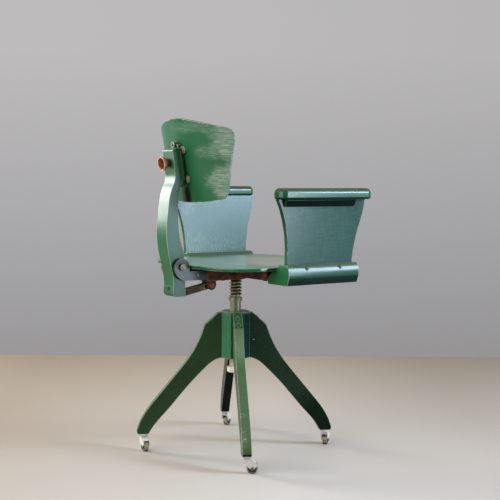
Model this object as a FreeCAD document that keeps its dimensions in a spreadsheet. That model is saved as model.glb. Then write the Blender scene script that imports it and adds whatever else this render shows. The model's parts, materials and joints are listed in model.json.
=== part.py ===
import FreeCAD, Part
import math
import os

import Sketcher
from FreeCAD import Placement, Rotation, Vector

# Swivel desk chair with plywood arms on a four legged wooden base with castors.
# Millimetres, +Z up, origin on the floor under the spindle, front towards -Y,
# the sitter's right towards -X.

doc = FreeCAD.newDocument("DeskChair")
sheet = doc.addObject("Spreadsheet::Sheet", "Sizes")
nodes = {}

sizes = {
    # fits and small clearances shared by all pieces
    "runningFit": 0.08,
    "screwFit": 0.1,
    "smallGap": 0.3,
    "overrun": 2.0,
    # hub
    "hubFlats": 70.0,
    "hubDrop": 127.0,
    "hubTall": 113.0,
    "topPlateDiameter": 70.0,
    "topPlateThick": 4.0,
    "topPlateHoleGap": 0.6,
    "sleeveWall": 3.0,
    # legs
    "legThick": 22.0,
    "legReach": 247.0,
    "legTopRun": 9.0,
    "baseTurn": 62.8,
    "plugDiameter": 9.0,
    "plugProud": 0.8,
    "plugDeep": 9.0,
    "legScrewDiameter": 4.0,
    "legScrewWeb": 5.0,
    # castors
    "castorTall": 42.0,
    "castorRing": 231.0,
    "castorPlateDiameter": 25.0,
    "castorPlateThick": 3.0,
    "crownDiameter": 22.0,
    "crownThick": 2.7,
    "stemDiameter": 6.4,
    "stemLong": 20.0,
    "trail": 13.5,
    "wheelDiameter": 26.5,
    "treadWide": 12.0,
    "treadThick": 3.2,
    "treadBevel": 1.6,
    "wheelSideGap": 0.6,
    "cheekThick": 2.0,
    "cheekEye": 4.2,
    "hoodRise": 7.5,
    "neckWide": 10.0,
    "axleDiameter": 4.0,
    "axleHeadDiameter": 7.0,
    "axleHeadThick": 1.2,
    "castorTurnLeft": 172.0,
    "castorTurnNear": 236.0,
    "castorTurnRight": 308.0,
    "castorTurnFar": 299.0,
    # spindle
    "shankDiameter": 28.0,
    "shankDrop": 33.0,
    "flangeDiameter": 34.4,
    "flangeRise": 26.0,
    "flangeThick": 8.0,
    "coreDiameter": 23.4,
    "ridgeDiameter": 31.4,
    "ridgePitch": 8.0,
    "ridgeCrest": 2.2,
    "ridgeRoot": 4.4,
    "journalDeep": 18.0,
    "capDiameter": 40.0,
    "capLap": 9.0,
    "capFloor": 5.0,
    "capBevel": 2.0,
    # seat panel
    "seatTop": 472.0,
    "seatThick": 7.0,
    "seatHalfWide": 197.5,
    "seatRear": 150.0,
    "seatFront": 225.0,
    "seatRearRound": 95.0,
    "seatFrontRound": 80.0,
    "dishDeep": 12.0,
    # seat iron
    "ironDrop": 42.0,
    "ironTailLap": 42.0,
    "spiderDrop": 34.0,
    "spiderHalfWide": 17.0,
    "spiderShort": 39.5,
    "spiderFront": 150.0,
    "bossDiameter": 60.0,
    "bossNeckDiameter": 34.0,
    "bossNeckTall": 4.0,
    "bossDrop": 40.0,
    "seatBoltDiameter": 5.0,
    "seatBoltHead": 10.0,
    "seatBoltHeadTall": 3.6,
    "seatBoltSide": 128.0,
    "seatBoltRear": 38.0,
    # lug below the iron with the link's front pin
    "lugPinY": 79.0,
    "lugPinDrop": 12.0,
    "lugRound": 11.5,
    "lugGap": 2.5,
    "lugThick": 4.0,
    "pinDiameter": 8.0,
    "pinHeadDiameter": 12.0,
    "pinHeadThick": 2.0,
    # side bars and the backrest pivot
    "barGap": 0.5,
    "barThick": 8.5,
    "barDrop": 37.0,
    "barTall": 22.0,
    "barFront": 103.0,
    "pivotBehind": 25.0,
    "pivotRise": 33.0,
    "barRound": 20.6,
    "pivotBoltDiameter": 10.0,
    "pivotHexFlats": 16.0,
    "pivotHeadThick": 6.0,
    "pivotNutThick": 4.5,
    "barScrewBehind": 29.0,
    "barScrewRise": 12.0,
    "barScrewDiameter": 5.0,
    "barScrewHead": 8.0,
    "barScrewHeadThick": 2.0,
    "barScrewLong": 20.0,
    # upright
    "uprightWide": 47.0,
    "uprightBelowPin": 8.0,
    "uprightBehindPin": 10.5,
    "backTilt": 9.0,
    "faceAhead": 3.9,
    "faceRise": 252.0,
    "faceAbove": 32.0,
    "faceBelow": 42.5,
    "topThick": 21.4,
    "waistThick": 24.3,
    "waistRound": 45.0,
    "headRound": 5.0,
    "footDeep": 34.0,
    "footHeelRound": 12.0,
    # link and its bracket on the upright
    "linkPinAhead": 25.0,
    "linkPinDrop": 64.0,
    "linkWide": 16.0,
    "linkEye": 8.0,
    "slotFront": 9.0,
    "slotRear": 12.0,
    "slotFit": 0.9,
    "leafThick": 2.2,
    "leafRise": 17.0,
    "earThick": 3.0,
    "earRound": 7.0,
    "earGap": 0.6,
    "linkPinHead": 11.0,
    "linkPinHeadThick": 1.5,
    "leafScrewRise": 11.6,
    "leafScrewDiameter": 5.0,
    "leafScrewHead": 9.0,
    "leafScrewHeadThick": 2.0,
    # backrest bracket
    "bracketDeep": 10.9,
    "slideGap": 0.2,
    "strapHalfWide": 13.0,
    "strapWall": 3.0,
    "strapAbove": 39.8,
    "strapBelow": 62.0,
    "liftTravel": 45.0,
    "footLobe": 9.0,
    "footPlateThick": 3.0,
    "footPlateHalfTall": 6.5,
    "upperBoltX": 22.0,
    "upperBoltUp": 25.8,
    "lowerBoltX": 20.0,
    "lowerBoltDown": 45.0,
    "bracketBoltDiameter": 5.0,
    "bracketNut": 11.5,
    "bracketNutThick": 3.0,
    "bracketBoltHead": 12.0,
    "bracketBoltHeadThick": 1.5,
    "bossEyeDiameter": 15.0,
    "bossEyeHole": 7.0,
    "bossEyeRear": 6.0,
    "bossEyeSink": 3.0,
    "bossEyeSinkDiameter": 10.0,
    # backrest panel
    "backRadius": 257.0,
    "backThick": 8.0,
    "backHalfWide": 160.0,
    "backAbove": 101.5,
    "backBelow": 102.0,
    "panelTilt": 11.31,
    # clamping bolt and knob
    "studDiameter": 8.0,
    "studHeadDiameter": 14.0,
    "studHeadThick": 2.8,
    "washerDiameter": 19.0,
    "washerThick": 3.6,
    "knobRim": 33.0,
    "knobBase": 18.0,
    "knobDeep": 19.0,
    "knobWall": 2.0,
    "knobFloor": 6.0,
    "knobBossDiameter": 14.0,
    "knobBossTall": 9.0,
    "studProud": 12.5,
    # arm blocks
    "blockRear": 17.0,
    "blockFront": 193.0,
    "blockTall": 48.0,
    "blockRise": 8.0,
    "blockOut": 47.5,
    "ledgeDeep": 13.5,
    "ledgeGap": 0.5,
    # arm panels
    "armPanelThick": 12.0,
    "armFootOut": 33.5,
    "armFootRise": 3.0,
    "armLean": 4.03,
    "armFootRear": 12.0,
    "armFootFront": 182.0,
    "armTopRear": 46.0,
    "armTopFront": 212.0,
    "tongueDeep": 20.0,
    "grooveGap": 0.15,
    "armScrewRearY": 37.0,
    "armScrewFrontY": 136.0,
    "armScrewDrop": 8.5,
    "armScrewDiameter": 4.4,
    "armScrewHead": 9.0,
    "armScrewHeadThick": 2.0,
    "armScrewSink": 1.4,
    "armScrewLong": 32.0,
    # arm caps and battens
    "capOverhang": 4.0,
    "capWide": 41.0,
    "capRear": 54.0,
    "capFront": 216.0,
    "armTall": 149.5,
    "capThick": 26.0,
    "capLowerRound": 6.0,
    "capUpperRound": 12.0,
    "capCornerRound": 16.0,
    "capInnerCornerRound": 13.0,
    "battenInset": 15.0,
    "battenRear": 30.0,
    "battenFront": 176.0,
    "battenTall": 17.0,
    "battenLip": 3.0,
    "battenFootWide": 4.0,
}


class Size(float):
    # A sheet value, or a sum of them, that remembers its own formula.
    def __new__(cls, value, formula):
        size = float.__new__(cls, value)
        size.formula = formula
        return size

    def __add__(self, other):
        return Size(float(self) + float(other), f"({self.formula} + {formulaOf(other)})")

    def __radd__(self, other):
        return Size(float(other) + float(self), f"({formulaOf(other)} + {self.formula})")

    def __sub__(self, other):
        return Size(float(self) - float(other), f"({self.formula} - {formulaOf(other)})")

    def __rsub__(self, other):
        return Size(float(other) - float(self), f"({formulaOf(other)} - {self.formula})")

    def __mul__(self, other):
        return Size(float(self) * float(other), f"({self.formula} * {formulaOf(other)})")

    def __rmul__(self, other):
        return self * other

    def __truediv__(self, other):
        return Size(float(self) / float(other), f"({self.formula} / {formulaOf(other)})")

    def __neg__(self):
        return Size(-float(self), f"(-{self.formula})")


def formulaOf(value):
    return value.formula if isinstance(value, Size) else repr(float(value))


class Sizes:
    # Reads a value from the sheet by its alias.
    def __getattr__(self, alias):
        return Size(sheet.get(alias), f"Sizes.{alias}")


for row, (alias, value) in enumerate(sizes.items(), start=1):
    sheet.set(f"A{row}", alias)
    sheet.set(f"B{row}", str(value))
    sheet.setAlias(f"B{row}", alias)
doc.recompute()
s = Sizes()

# Places and sizes that follow from others.
hubTop = s.seatTop - s.hubDrop
hubFoot = hubTop - s.hubTall
plateTop = hubTop + s.topPlateThick
shankBottom = hubFoot - s.shankDrop
flangeBottom = plateTop + s.flangeRise
flangeTop = flangeBottom + s.flangeThick
capTop = shankBottom + s.capLap
capBottom = shankBottom - s.capFloor
ironBottom = s.seatTop - s.ironDrop
spiderBottom = s.seatTop - s.spiderDrop
spiderReach = s.seatHalfWide - s.spiderShort
bossShoulder = s.seatTop - s.bossDrop
bossFoot = bossShoulder - s.bossNeckTall
journalTop = bossFoot + s.journalDeep
ridgeTall = bossFoot - flangeTop - s.ridgeRoot - s.smallGap * 2
lugPinHeight = ironBottom - s.lugPinDrop
lugInner = s.linkWide / 2 + s.lugGap
barInner = s.uprightWide / 2 + s.barGap
barOuter = barInner + s.barThick
barBottom = s.seatTop - s.barDrop
ironTail = s.barFront + s.ironTailLap
pivotY = s.seatRear + s.pivotBehind
pivotHeight = barBottom + s.pivotRise
barScrewY = s.barFront + s.barScrewBehind
barScrewHeight = barBottom + s.barScrewRise
linkPinY = pivotY - s.linkPinAhead
linkPinHeight = pivotHeight - s.linkPinDrop
uprightBottom = linkPinHeight - s.uprightBelowPin
uprightFoot = linkPinY + s.uprightBehindPin
leafTop = linkPinHeight + s.leafRise
leafScrewHeight = linkPinHeight + s.leafScrewRise
faceY = pivotY - s.faceAhead
faceHeight = pivotHeight + s.faceRise
washerRear = s.topThick + s.washerThick
blockTop = s.seatTop + s.blockRise
blockBottom = blockTop - s.blockTall
blockOuter = s.seatHalfWide + s.blockOut
ledgeInner = s.seatHalfWide - s.ledgeDeep
armFoot = s.seatHalfWide + s.armFootOut
armFootHeight = blockTop + s.armFootRise
armScrewHeight = blockTop - s.armScrewDrop
capInner = armFoot - s.capOverhang
capOuter = capInner + s.capWide
capUnderside = armFootHeight + s.armTall
battenOuter = capOuter - s.battenInset

# Shares used by more than one piece: a screw head's rounding, and the middle of a quarter turn.
headRoundShare = 0.6
quarterMid = math.cos(math.radians(45))


def tangent(angle):
    return Size(math.tan(math.radians(angle)), f"tan({angle.formula} * 1 deg)")


def bind(piece, **values):
    # An underscore in a name stands for the dot of a nested property.
    for name, value in values.items():
        piece.setExpression(name.replace("_", "."), formulaOf(value))


def moveTo(piece, x, y, z, turn=Rotation()):
    piece.Placement = Placement(Vector(x, y, z), turn)
    bind(piece, Placement_Base_x=x, Placement_Base_y=y, Placement_Base_z=z)


def keep(name, piece):
    piece.Label = name
    nodes[name] = piece
    return piece


def newBody(name):
    return doc.addObject("PartDesign::Body", name)


def sketchOutline(body, role, corners, name="Outline"):
    # Straight outline through corners, each held by its two bound distances.
    plane = [item for item in body.Origin.OriginFeatures if item.Role == role][0]
    sketch = body.newObject("Sketcher::SketchObject", body.Name + name)
    sketch.AttachmentSupport = (plane, "")
    sketch.MapMode = "FlatFace"
    count = len(corners)
    places = [Vector(float(across), float(up), 0) for across, up in corners]
    for i in range(count):
        sketch.addGeometry(Part.LineSegment(places[i], places[(i + 1) % count]), False)
    for i in range(count):
        sketch.addConstraint(Sketcher.Constraint("Coincident", i, 2, (i + 1) % count, 1))
    for i, corner in enumerate(corners):
        for kind, axis, value in (("DistanceX", -2, corner[0]), ("DistanceY", -1, corner[1])):
            if float(value) == 0:
                sketch.addConstraint(Sketcher.Constraint("PointOnObject", i, 1, axis))
            else:
                held = sketch.addConstraint(Sketcher.Constraint(kind, -1, 1, i, 1, float(value)))
                sketch.setExpression(f"Constraints[{held}]", formulaOf(value))
    return sketch


def padded(name, role, corners, length):
    body = newBody(name)
    pad = body.newObject("PartDesign::Pad", name + "Pad")
    pad.Profile = sketchOutline(body, role, corners)
    bind(pad, Length=length)
    return body


def revolved(name, corners):
    # Corners are radius and height; the body turns about its own Z axis.
    body = newBody(name)
    sketch = sketchOutline(body, "XZ_Plane", corners)
    turn = body.newObject("PartDesign::Revolution", name + "Turn")
    turn.Profile = sketch
    turn.ReferenceAxis = (sketch, ["V_Axis"])
    turn.Angle = 360
    return body


def filletEdges(body, radius, chosen):
    # Rounds the edges of the body's tip that the test picks.
    doc.recompute()
    tip = body.Tip
    picked = [f"Edge{i + 1}" for i, edge in enumerate(tip.Shape.Edges) if chosen(edge)]
    fillet = body.newObject("PartDesign::Fillet", body.Name + f"Round{len(body.Group)}")
    fillet.Base = (tip, picked)
    bind(fillet, Radius=radius)
    return fillet


def solidFeature(name, shape, place=None):
    feature = doc.addObject("Part::Feature", name)
    feature.Shape = shape
    if place:
        feature.Placement = place
    return keep(name, feature)


def rod(start, end, diameter):
    span = Vector(end) - Vector(start)
    return Part.makeCylinder(diameter / 2, span.Length, Vector(start), span)


def boxOf(low, high):
    low, high = Vector(low), Vector(high)
    return Part.makeBox(high.x - low.x, high.y - low.y, high.z - low.z, low)


def smooth(points):
    curve = Part.BSplineCurve()
    curve.interpolate([Vector(point) for point in points])
    return curve.toShape()


def slab(edges, along):
    # Solid from a closed flat outline, pushed along a vector.
    return Part.Face(Part.Wire(edges)).extrude(Vector(along))


def straight(*points):
    points = [Vector(point) for point in points]
    return [Part.makeLine(a, b) for a, b in zip(points, points[1:])]


def domedScrew(shankDiameter, shankLong, headDiameter, headThick):
    # Points along +Z with its head's underside at zero and the dome below it.
    head = Part.makeCylinder(headDiameter / 2, headThick, Vector(0, 0, -headThick))
    rim = [edge for edge in head.Edges if abs(edge.BoundBox.ZMax + headThick) < headThick / 2]
    head = head.makeFillet(headThick * headRoundShare, rim)
    return head.fuse(Part.makeCylinder(shankDiameter / 2, shankLong)).removeSplitter()


def pointed(shape, place, direction):
    # Turns a shape made along +Z so that it points in the given direction.
    copy = shape.copy()
    copy.Placement = Placement(Vector(place), Rotation(Vector(0, 0, 1), Vector(direction)))
    return copy


def joined(shapes):
    return shapes[0].fuse(shapes[1:]).removeSplitter()


# The four places round the base, anticlockwise from the leg at the photo's left.
legTurns = [s.baseTurn + 90 * step for step in range(4)]
castorTurns = [s.castorTurnLeft, s.castorTurnNear, s.castorTurnRight, s.castorTurnFar]


def aboutSpindle(turn):
    return Placement(Vector(0, 0, 0), Rotation(Vector(0, 0, 1), turn))


# Hub: an eight sided post with a cover plate and a guide sleeve for the spindle.
def buildHub():
    half = s.hubFlats / 2
    corner = half * math.tan(math.radians(22.5))
    octagon = [(half, -corner), (half, corner), (corner, half), (-corner, half),
               (-half, corner), (-half, -corner), (-corner, -half), (corner, -half)]
    post = padded("HubBlank", "XY_Plane", octagon, s.hubTall)
    moveTo(post, 0, 0, hubFoot, Rotation(Vector(0, 0, 1), s.baseTurn))
    sleeveRadius = s.shankDiameter / 2 + s.runningFit + s.sleeveWall
    bore = doc.addObject("Part::Cylinder", "HubBore")
    bind(bore, Radius=sleeveRadius + s.screwFit, Height=s.hubTall + s.overrun * 2)
    moveTo(bore, 0, 0, hubFoot - s.overrun)
    doc.recompute()
    drilled = doc.addObject("Part::Cut", "HubDrilled")
    drilled.Base = post
    drilled.Tool = bore
    doc.recompute()
    hub = drilled.Shape.cut([aboutLeg for turn in legTurns for aboutLeg in legScrewHoles(turn)])
    solidFeature("hub_post", hub)

    plateHole = s.shankDiameter / 2 + s.topPlateHoleGap
    plate = revolved("TopPlate", [(plateHole, 0), (s.topPlateDiameter / 2, 0),
                                  (s.topPlateDiameter / 2, s.topPlateThick),
                                  (plateHole, s.topPlateThick)])
    moveTo(plate, 0, 0, hubTop)
    keep("hub_top_plate", plate)

    bearing = s.shankDiameter / 2 + s.runningFit
    sleeve = revolved("Sleeve", [(bearing, 0), (sleeveRadius, 0),
                                 (sleeveRadius, s.hubTall), (bearing, s.hubTall)])
    moveTo(sleeve, 0, 0, hubFoot)
    keep("hub_sleeve", sleeve)


# Legs: sawn boards with a steep shoulder, a long sweep and a flat sole.
# Shares of the leg's reach from the hub and of its rise from the sole.
legBackShares = [(0.203, 0.898), (0.259, 0.789), (0.377, 0.640), (0.580, 0.459),
                 (0.774, 0.294), (0.896, 0.182), (0.967, 0.089), (1.000, 0.022)]
legSoleShares = [(0.988, 0), (0.860, 0)]
legBellyShares = [(0.860, 0), (0.785, 0.083), (0.660, 0.182), (0.410, 0.389), (0.193, 0.548),
                  (0.094, 0.604)]
legPlugShares = [0.32, 0.77]


def legPoint(share):
    reach, rise = share
    root = s.hubFlats / 2
    return Vector(root + (s.legReach - root) * reach, -s.legThick / 2,
                  s.castorTall + (hubTop - s.castorTall) * rise)


def legShoulder(share):
    # A place on the sloping shoulder, as a share of it from its top.
    top = Vector(s.hubFlats / 2 + s.legTopRun, 0, hubTop)
    foot = legPoint(legBackShares[0])
    foot.y = 0
    return top + (foot - top) * share


def legScrewHoles(turn):
    holes = []
    for share in legPlugShares:
        face = legShoulder(share)
        seat = Vector(face.x - s.plugDeep, 0, face.z)
        inner = Vector(s.shankDiameter / 2 + s.sleeveWall + s.legScrewWeb, 0, face.z)
        outside = Vector(face.x + s.plugDeep * 2, 0, face.z)
        hole = rod(inner, outside, s.legScrewDiameter + s.screwFit * 2)
        wide = rod(seat, outside, s.plugDiameter + s.screwFit * 2)
        drill = hole.fuse(wide)
        drill.Placement = aboutSpindle(turn)
        holes.append(drill)
    return holes


def legScrewSolids(turn):
    # A screw with a plug over it, the plug's end cut along the shoulder.
    screws = []
    along = (legShoulder(1) - legShoulder(0)).normalize()
    outward = Vector(-along.z, 0, along.x)
    for share in legPlugShares:
        face = legShoulder(share)
        seat = Vector(face.x - s.plugDeep, 0, face.z)
        inner = Vector(s.shankDiameter / 2 + s.sleeveWall + s.legScrewWeb, 0, face.z)
        outside = Vector(face.x + s.plugDeep * 2, 0, face.z)
        plug = rod(inner, seat, s.legScrewDiameter).fuse(rod(seat, outside, s.plugDiameter))
        above = face + outward * (s.plugProud + s.plugDeep * 2)
        waste = rod(face + outward * s.plugProud, above, s.hubFlats)
        screw = plug.cut(waste).removeSplitter()
        screw.Placement = aboutSpindle(turn)
        screws.append(screw)
    return screws


def buildLegs():
    root = s.hubFlats / 2
    back = s.legThick / -2
    rootTop = Vector(root, back, hubTop)
    shoulder = Vector(root + s.legTopRun, back, hubTop)
    rootFoot = Vector(root, back, hubFoot)
    backLine = [legPoint(share) for share in legBackShares]
    sole = [legPoint(share) for share in legSoleShares]
    belly = [legPoint(share) for share in legBellyShares] + [rootFoot]
    edges = straight(rootFoot, rootTop, shoulder, backLine[0])
    edges += [smooth(backLine)] + straight(backLine[-1], sole[0], sole[1]) + [smooth(belly)]
    blank = slab(edges, (0, s.legThick, 0))
    stemTop = s.castorTall + s.stemLong + s.smallGap
    bore = rod((s.castorRing, 0, s.castorTall - s.overrun), (s.castorRing, 0, stemTop),
               s.stemDiameter + s.runningFit * 2)
    blank = blank.cut([bore] + legScrewHoles(0))
    for index, turn in enumerate(legTurns, start=1):
        solidFeature(f"leg_{index}", blank, aboutSpindle(turn))
    plugs = [screw for turn in legTurns for screw in legScrewSolids(turn)]
    solidFeature("leg_screws", Part.makeCompound(plugs))


# Castors: a fixed plate, a swivelling fork with its stem, and a wheel with a tread.
# Shares of the wheel's diameter ahead of the axle, and of the eye's radius aside of and below it.
hoodFrontShare = 0.36
hoodTipSideShare = 0.8
hoodTipLowShare = 0.6


def buildCastor(index, legTurn, trailTurn):
    stemHole = s.stemDiameter / 2 + s.runningFit
    stand = aboutSpindle(legTurn).multVec(Vector(s.castorRing, 0, 0))
    plate = revolved(f"CastorPlate{index}", [(stemHole, 0), (s.castorPlateDiameter / 2, 0),
                                             (s.castorPlateDiameter / 2, s.castorPlateThick),
                                             (stemHole, s.castorPlateThick)])
    plate.Placement = Placement(stand + Vector(0, 0, s.castorTall - s.castorPlateThick), Rotation())
    keep(f"castor_plate_{index}", plate)

    facing = Placement(stand, Rotation(Vector(0, 0, 1), trailTurn))
    crownTop = s.castorTall - s.castorPlateThick - s.smallGap
    crownFoot = crownTop - s.crownThick
    axle = Vector(s.trail, 0, s.wheelDiameter / 2)
    inner = s.treadWide / 2 + s.wheelSideGap
    crown = rod((0, 0, crownFoot), (0, 0, crownTop), s.crownDiameter)
    stem = rod((0, 0, crownFoot), (0, 0, s.castorTall + s.stemLong), s.stemDiameter)
    web = crownFoot + s.crownThick / 2
    halfNeck = s.neckWide / 2
    wheelTop = s.wheelDiameter + s.wheelSideGap
    hoodFront = axle.x + s.wheelDiameter * hoodFrontShare
    tipSide, tipLow = s.cheekEye * hoodTipSideShare, s.cheekEye * hoodTipLowShare
    pieces = [crown, stem]
    for side in (-1, 1):
        y = min(side * inner, side * (inner + s.cheekThick))
        # A hood over the wheel's upper half that comes to a rounded point at the axle.
        fan = straight((-halfNeck, y, web), (halfNeck, y, web),
                       (hoodFront, y, wheelTop),
                       (axle.x + s.wheelDiameter / 2, y, axle.z + s.hoodRise),
                       (axle.x + tipSide, y, axle.z - tipLow),
                       (axle.x - tipSide, y, axle.z - tipLow),
                       (axle.x - s.wheelDiameter / 2, y, axle.z + s.hoodRise),
                       (-halfNeck, y, web))
        pieces.append(slab(fan, (0, s.cheekThick, 0)))
        pieces.append(rod((axle.x, y, axle.z), (axle.x, y + s.cheekThick, axle.z), s.cheekEye * 2))
    bridge = [(-halfNeck, web), (halfNeck, web), (hoodFront, wheelTop),
              (hoodFront - s.cheekThick, wheelTop), (halfNeck - s.cheekThick, wheelTop + s.cheekThick),
              (-halfNeck, wheelTop + s.cheekThick), (-halfNeck, web)]
    pieces.append(slab(straight(*[(x, -inner - s.cheekThick / 2, z) for x, z in bridge]),
                       (0, inner * 2 + s.cheekThick, 0)))
    fork = joined(pieces)
    outer = inner + s.cheekThick
    fork = fork.cut(rod((axle.x, -outer - s.overrun, axle.z), (axle.x, outer + s.overrun, axle.z),
                        s.axleDiameter + s.screwFit))
    solidFeature(f"castor_fork_{index}", fork, facing)

    half = s.axleDiameter / 2
    headHalf = s.axleHeadDiameter / 2
    rivet = revolved(f"Axle{index}", [(0, -outer - s.axleHeadThick), (headHalf, -outer - s.axleHeadThick),
                                      (headHalf, -outer), (half, -outer), (half, outer),
                                      (headHalf, outer), (headHalf, outer + s.axleHeadThick),
                                      (0, outer + s.axleHeadThick)])
    flat = Placement(axle, Rotation(Vector(1, 0, 0), 90))
    rivet.Placement = facing * flat
    keep(f"castor_axle_{index}", rivet)

    core = s.wheelDiameter / 2 - s.treadThick
    reach = s.treadWide / 2
    wheelBore = half + s.runningFit
    disc = revolved(f"Wheel{index}", [(wheelBore, -reach), (core, -reach), (core, reach),
                                      (wheelBore, reach)])
    disc.Placement = facing * flat
    keep(f"castor_wheel_{index}", disc)

    rim = s.wheelDiameter / 2
    seat = core + s.runningFit
    band = revolved(f"Tread{index}", [(seat, -reach), (rim - s.treadBevel, -reach),
                                      (rim, s.treadBevel - reach), (rim, reach - s.treadBevel),
                                      (rim - s.treadBevel, reach), (seat, reach)])
    band.Placement = facing * flat
    keep(f"castor_tread_{index}", band)


# Spindle: a plain shank, a stop flange and a ridged column with a journal at its top.
def buildSpindle():
    shank = s.shankDiameter / 2
    core = s.coreDiameter / 2
    column = revolved("Column", [(0, shankBottom), (shank, shankBottom), (shank, flangeBottom),
                                 (s.flangeDiameter / 2, flangeBottom),
                                 (s.flangeDiameter / 2, flangeTop), (core, flangeTop),
                                 (core, journalTop), (0, journalTop)])
    doc.recompute()
    start = flangeTop + s.ridgeRoot / 2 + s.smallGap
    buried = core - s.smallGap
    helix = Part.makeHelix(s.ridgePitch, ridgeTall, core)
    helix.translate(Vector(0, 0, start))
    crest = s.ridgeDiameter / 2
    section = Part.Wire(straight((buried, 0, start - s.ridgeRoot / 2),
                                 (crest, 0, start - s.ridgeCrest / 2),
                                 (crest, 0, start + s.ridgeCrest / 2),
                                 (buried, 0, start + s.ridgeRoot / 2),
                                 (buried, 0, start - s.ridgeRoot / 2)))
    ridge = Part.Wire(helix.Edges).makePipeShell([section], True, True)
    solidFeature("spindle", column.Shape.fuse(ridge).removeSplitter())

    cup = shank + s.screwFit
    outer = s.capDiameter / 2
    cap = revolved("EndCap", [(0, capBottom), (outer - s.capBevel, capBottom),
                              (outer, capBottom + s.capBevel), (outer, capTop), (cup, capTop),
                              (cup, shankBottom), (0, shankBottom)])
    keep("spindle_cap", cap)


# Seat: a dished plywood panel on a cast spider.
# Shares of the panel's thickness that the bolts' holes and the bolts reach into it.
boltHoleShare = 0.7
boltReachShare = 0.6


def dishCentre():
    radius = (s.seatHalfWide * s.seatHalfWide + s.dishDeep * s.dishDeep) / (s.dishDeep * 2)
    middle = (s.seatRear - s.seatFront) / 2
    return Vector(0, middle, s.seatTop - s.dishDeep + radius), radius


def seatBoltPlaces():
    return [(s.seatBoltSide, 0, spiderBottom), (-s.seatBoltSide, 0, spiderBottom),
            (0, -s.seatBoltSide, spiderBottom), (0, s.seatBoltRear, ironBottom)]


def seatUnderside(x, y):
    centre, radius = dishCentre()
    low = radius + s.seatThick
    return centre.z - math.sqrt(low * low - x * x - (y - centre.y) * (y - centre.y))


def seatBoltHoles(clearance):
    holes = []
    for x, y, foot in seatBoltPlaces():
        top = seatUnderside(x, y) + s.seatThick * boltHoleShare
        holes.append(rod((x, y, foot - s.overrun), (x, y, top), s.seatBoltDiameter + clearance * 2))
    return holes


def buildSeatPanel():
    half, rear, front = s.seatHalfWide, s.seatRear, -s.seatFront
    blankTall = s.dishDeep + s.seatThick + s.overrun
    floor = s.seatTop - blankTall
    rounds = []
    corners = [(half, rear, s.seatRearRound, 0), (-half, rear, s.seatRearRound, 90),
               (-half, front, s.seatFrontRound, 180), (half, front, s.seatFrontRound, 270)]
    for x, y, radius, start in corners:
        centre = Vector(x - math.copysign(radius, x), y - math.copysign(radius, y), floor)
        rounds.append(Part.makeCircle(radius, centre, Vector(0, 0, 1), start, start + 90))
    edges = []
    for arc, following in zip(rounds, rounds[1:] + rounds[:1]):
        edges += [arc] + straight(arc.Vertexes[-1].Point, following.Vertexes[0].Point)
    block = slab(edges, (0, 0, blankTall))
    centre, radius = dishCentre()
    upper = Part.makeSphere(radius, centre)
    lower = Part.makeSphere(radius + s.seatThick, centre)
    big = s.seatFront + s.seatHalfWide + s.seatRear
    rimSlab = boxOf((-big, -big, s.seatTop - s.seatThick), (big, big, s.seatTop))
    panel = block.common(rimSlab).fuse(block.common(lower)).cut(upper)
    panel = panel.cut(seatBoltHoles(s.screwFit)).removeSplitter()
    solidFeature("seat_panel", panel)


def lugShape(side, inner, thick, grow):
    # One cheek of the lug, or a like shape, on the given side.
    low = min(side * inner, side * (inner + thick))
    radius = s.lugRound + grow
    eye = rod((low, s.lugPinY, lugPinHeight), (low + thick, s.lugPinY, lugPinHeight), radius * 2)
    web = boxOf((low, s.lugPinY - radius, lugPinHeight),
                (low + thick, s.lugPinY + radius, ironBottom + s.overrun))
    return eye.fuse(web)


def buildSeatIron():
    top = s.seatTop - s.seatThick
    beam = boxOf((-barInner, 0, ironBottom), (barInner, s.barFront, top))
    tail = boxOf((-barInner, s.barFront, barBottom), (barInner, ironTail, top))
    arms = boxOf((-spiderReach, -s.spiderHalfWide, spiderBottom),
                 (spiderReach, s.spiderHalfWide, top))
    nose = boxOf((-s.spiderHalfWide, -s.spiderFront, spiderBottom), (s.spiderHalfWide, 0, top))
    boss = rod((0, 0, bossShoulder), (0, 0, top), s.bossDiameter)
    neck = Part.makeCone(s.bossNeckDiameter / 2, s.bossDiameter / 2, s.bossNeckTall,
                         Vector(0, 0, bossFoot))
    cheeks = [lugShape(side, lugInner, s.lugThick, 0) for side in (-1, 1)]
    iron = joined([beam, tail, arms, nose, boss, neck] + cheeks)
    centre, radius = dishCentre()
    iron = iron.cut(Part.makeSphere(radius + s.seatThick + s.screwFit, centre))
    socket = rod((0, 0, bossFoot - s.overrun), (0, 0, journalTop + s.smallGap),
                 s.coreDiameter + s.runningFit * 2)
    pinHole = rod((-barInner, s.lugPinY, lugPinHeight),
                  (barInner, s.lugPinY, lugPinHeight), s.pinDiameter + s.screwFit)
    iron = iron.cut([socket, pinHole] + seatBoltHoles(s.screwFit) + barScrewHoles())
    solidFeature("seat_iron", iron.removeSplitter())

    bolts = []
    for x, y, foot in seatBoltPlaces():
        depth = seatUnderside(x, y) + s.seatThick * boltReachShare - foot
        bolt = domedScrew(s.seatBoltDiameter, depth, s.seatBoltHead, s.seatBoltHeadTall)
        bolts.append(pointed(bolt, (x, y, foot), (0, 0, 1)))
    solidFeature("seat_bolts", Part.makeCompound(bolts))

    outer = lugInner + s.lugThick
    pin = rod((-outer, s.lugPinY, lugPinHeight), (outer, s.lugPinY, lugPinHeight), s.pinDiameter)
    heads = []
    for side in (-1, 1):
        heads.append(rod((side * outer, s.lugPinY, lugPinHeight),
                         (side * (outer + s.pinHeadThick), s.lugPinY, lugPinHeight),
                         s.pinHeadDiameter))
    solidFeature("link_front_pin", joined([pin] + heads))


# Side bars: flat bars from the iron's tail back to the pivot of the upright.
def barScrewHoles():
    inner = barOuter - s.barScrewLong - s.smallGap
    return [rod((side * inner, barScrewY, barScrewHeight),
                (side * (barOuter + s.overrun), barScrewY, barScrewHeight),
                s.barScrewDiameter + s.screwFit * 2) for side in (-1, 1)]


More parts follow.
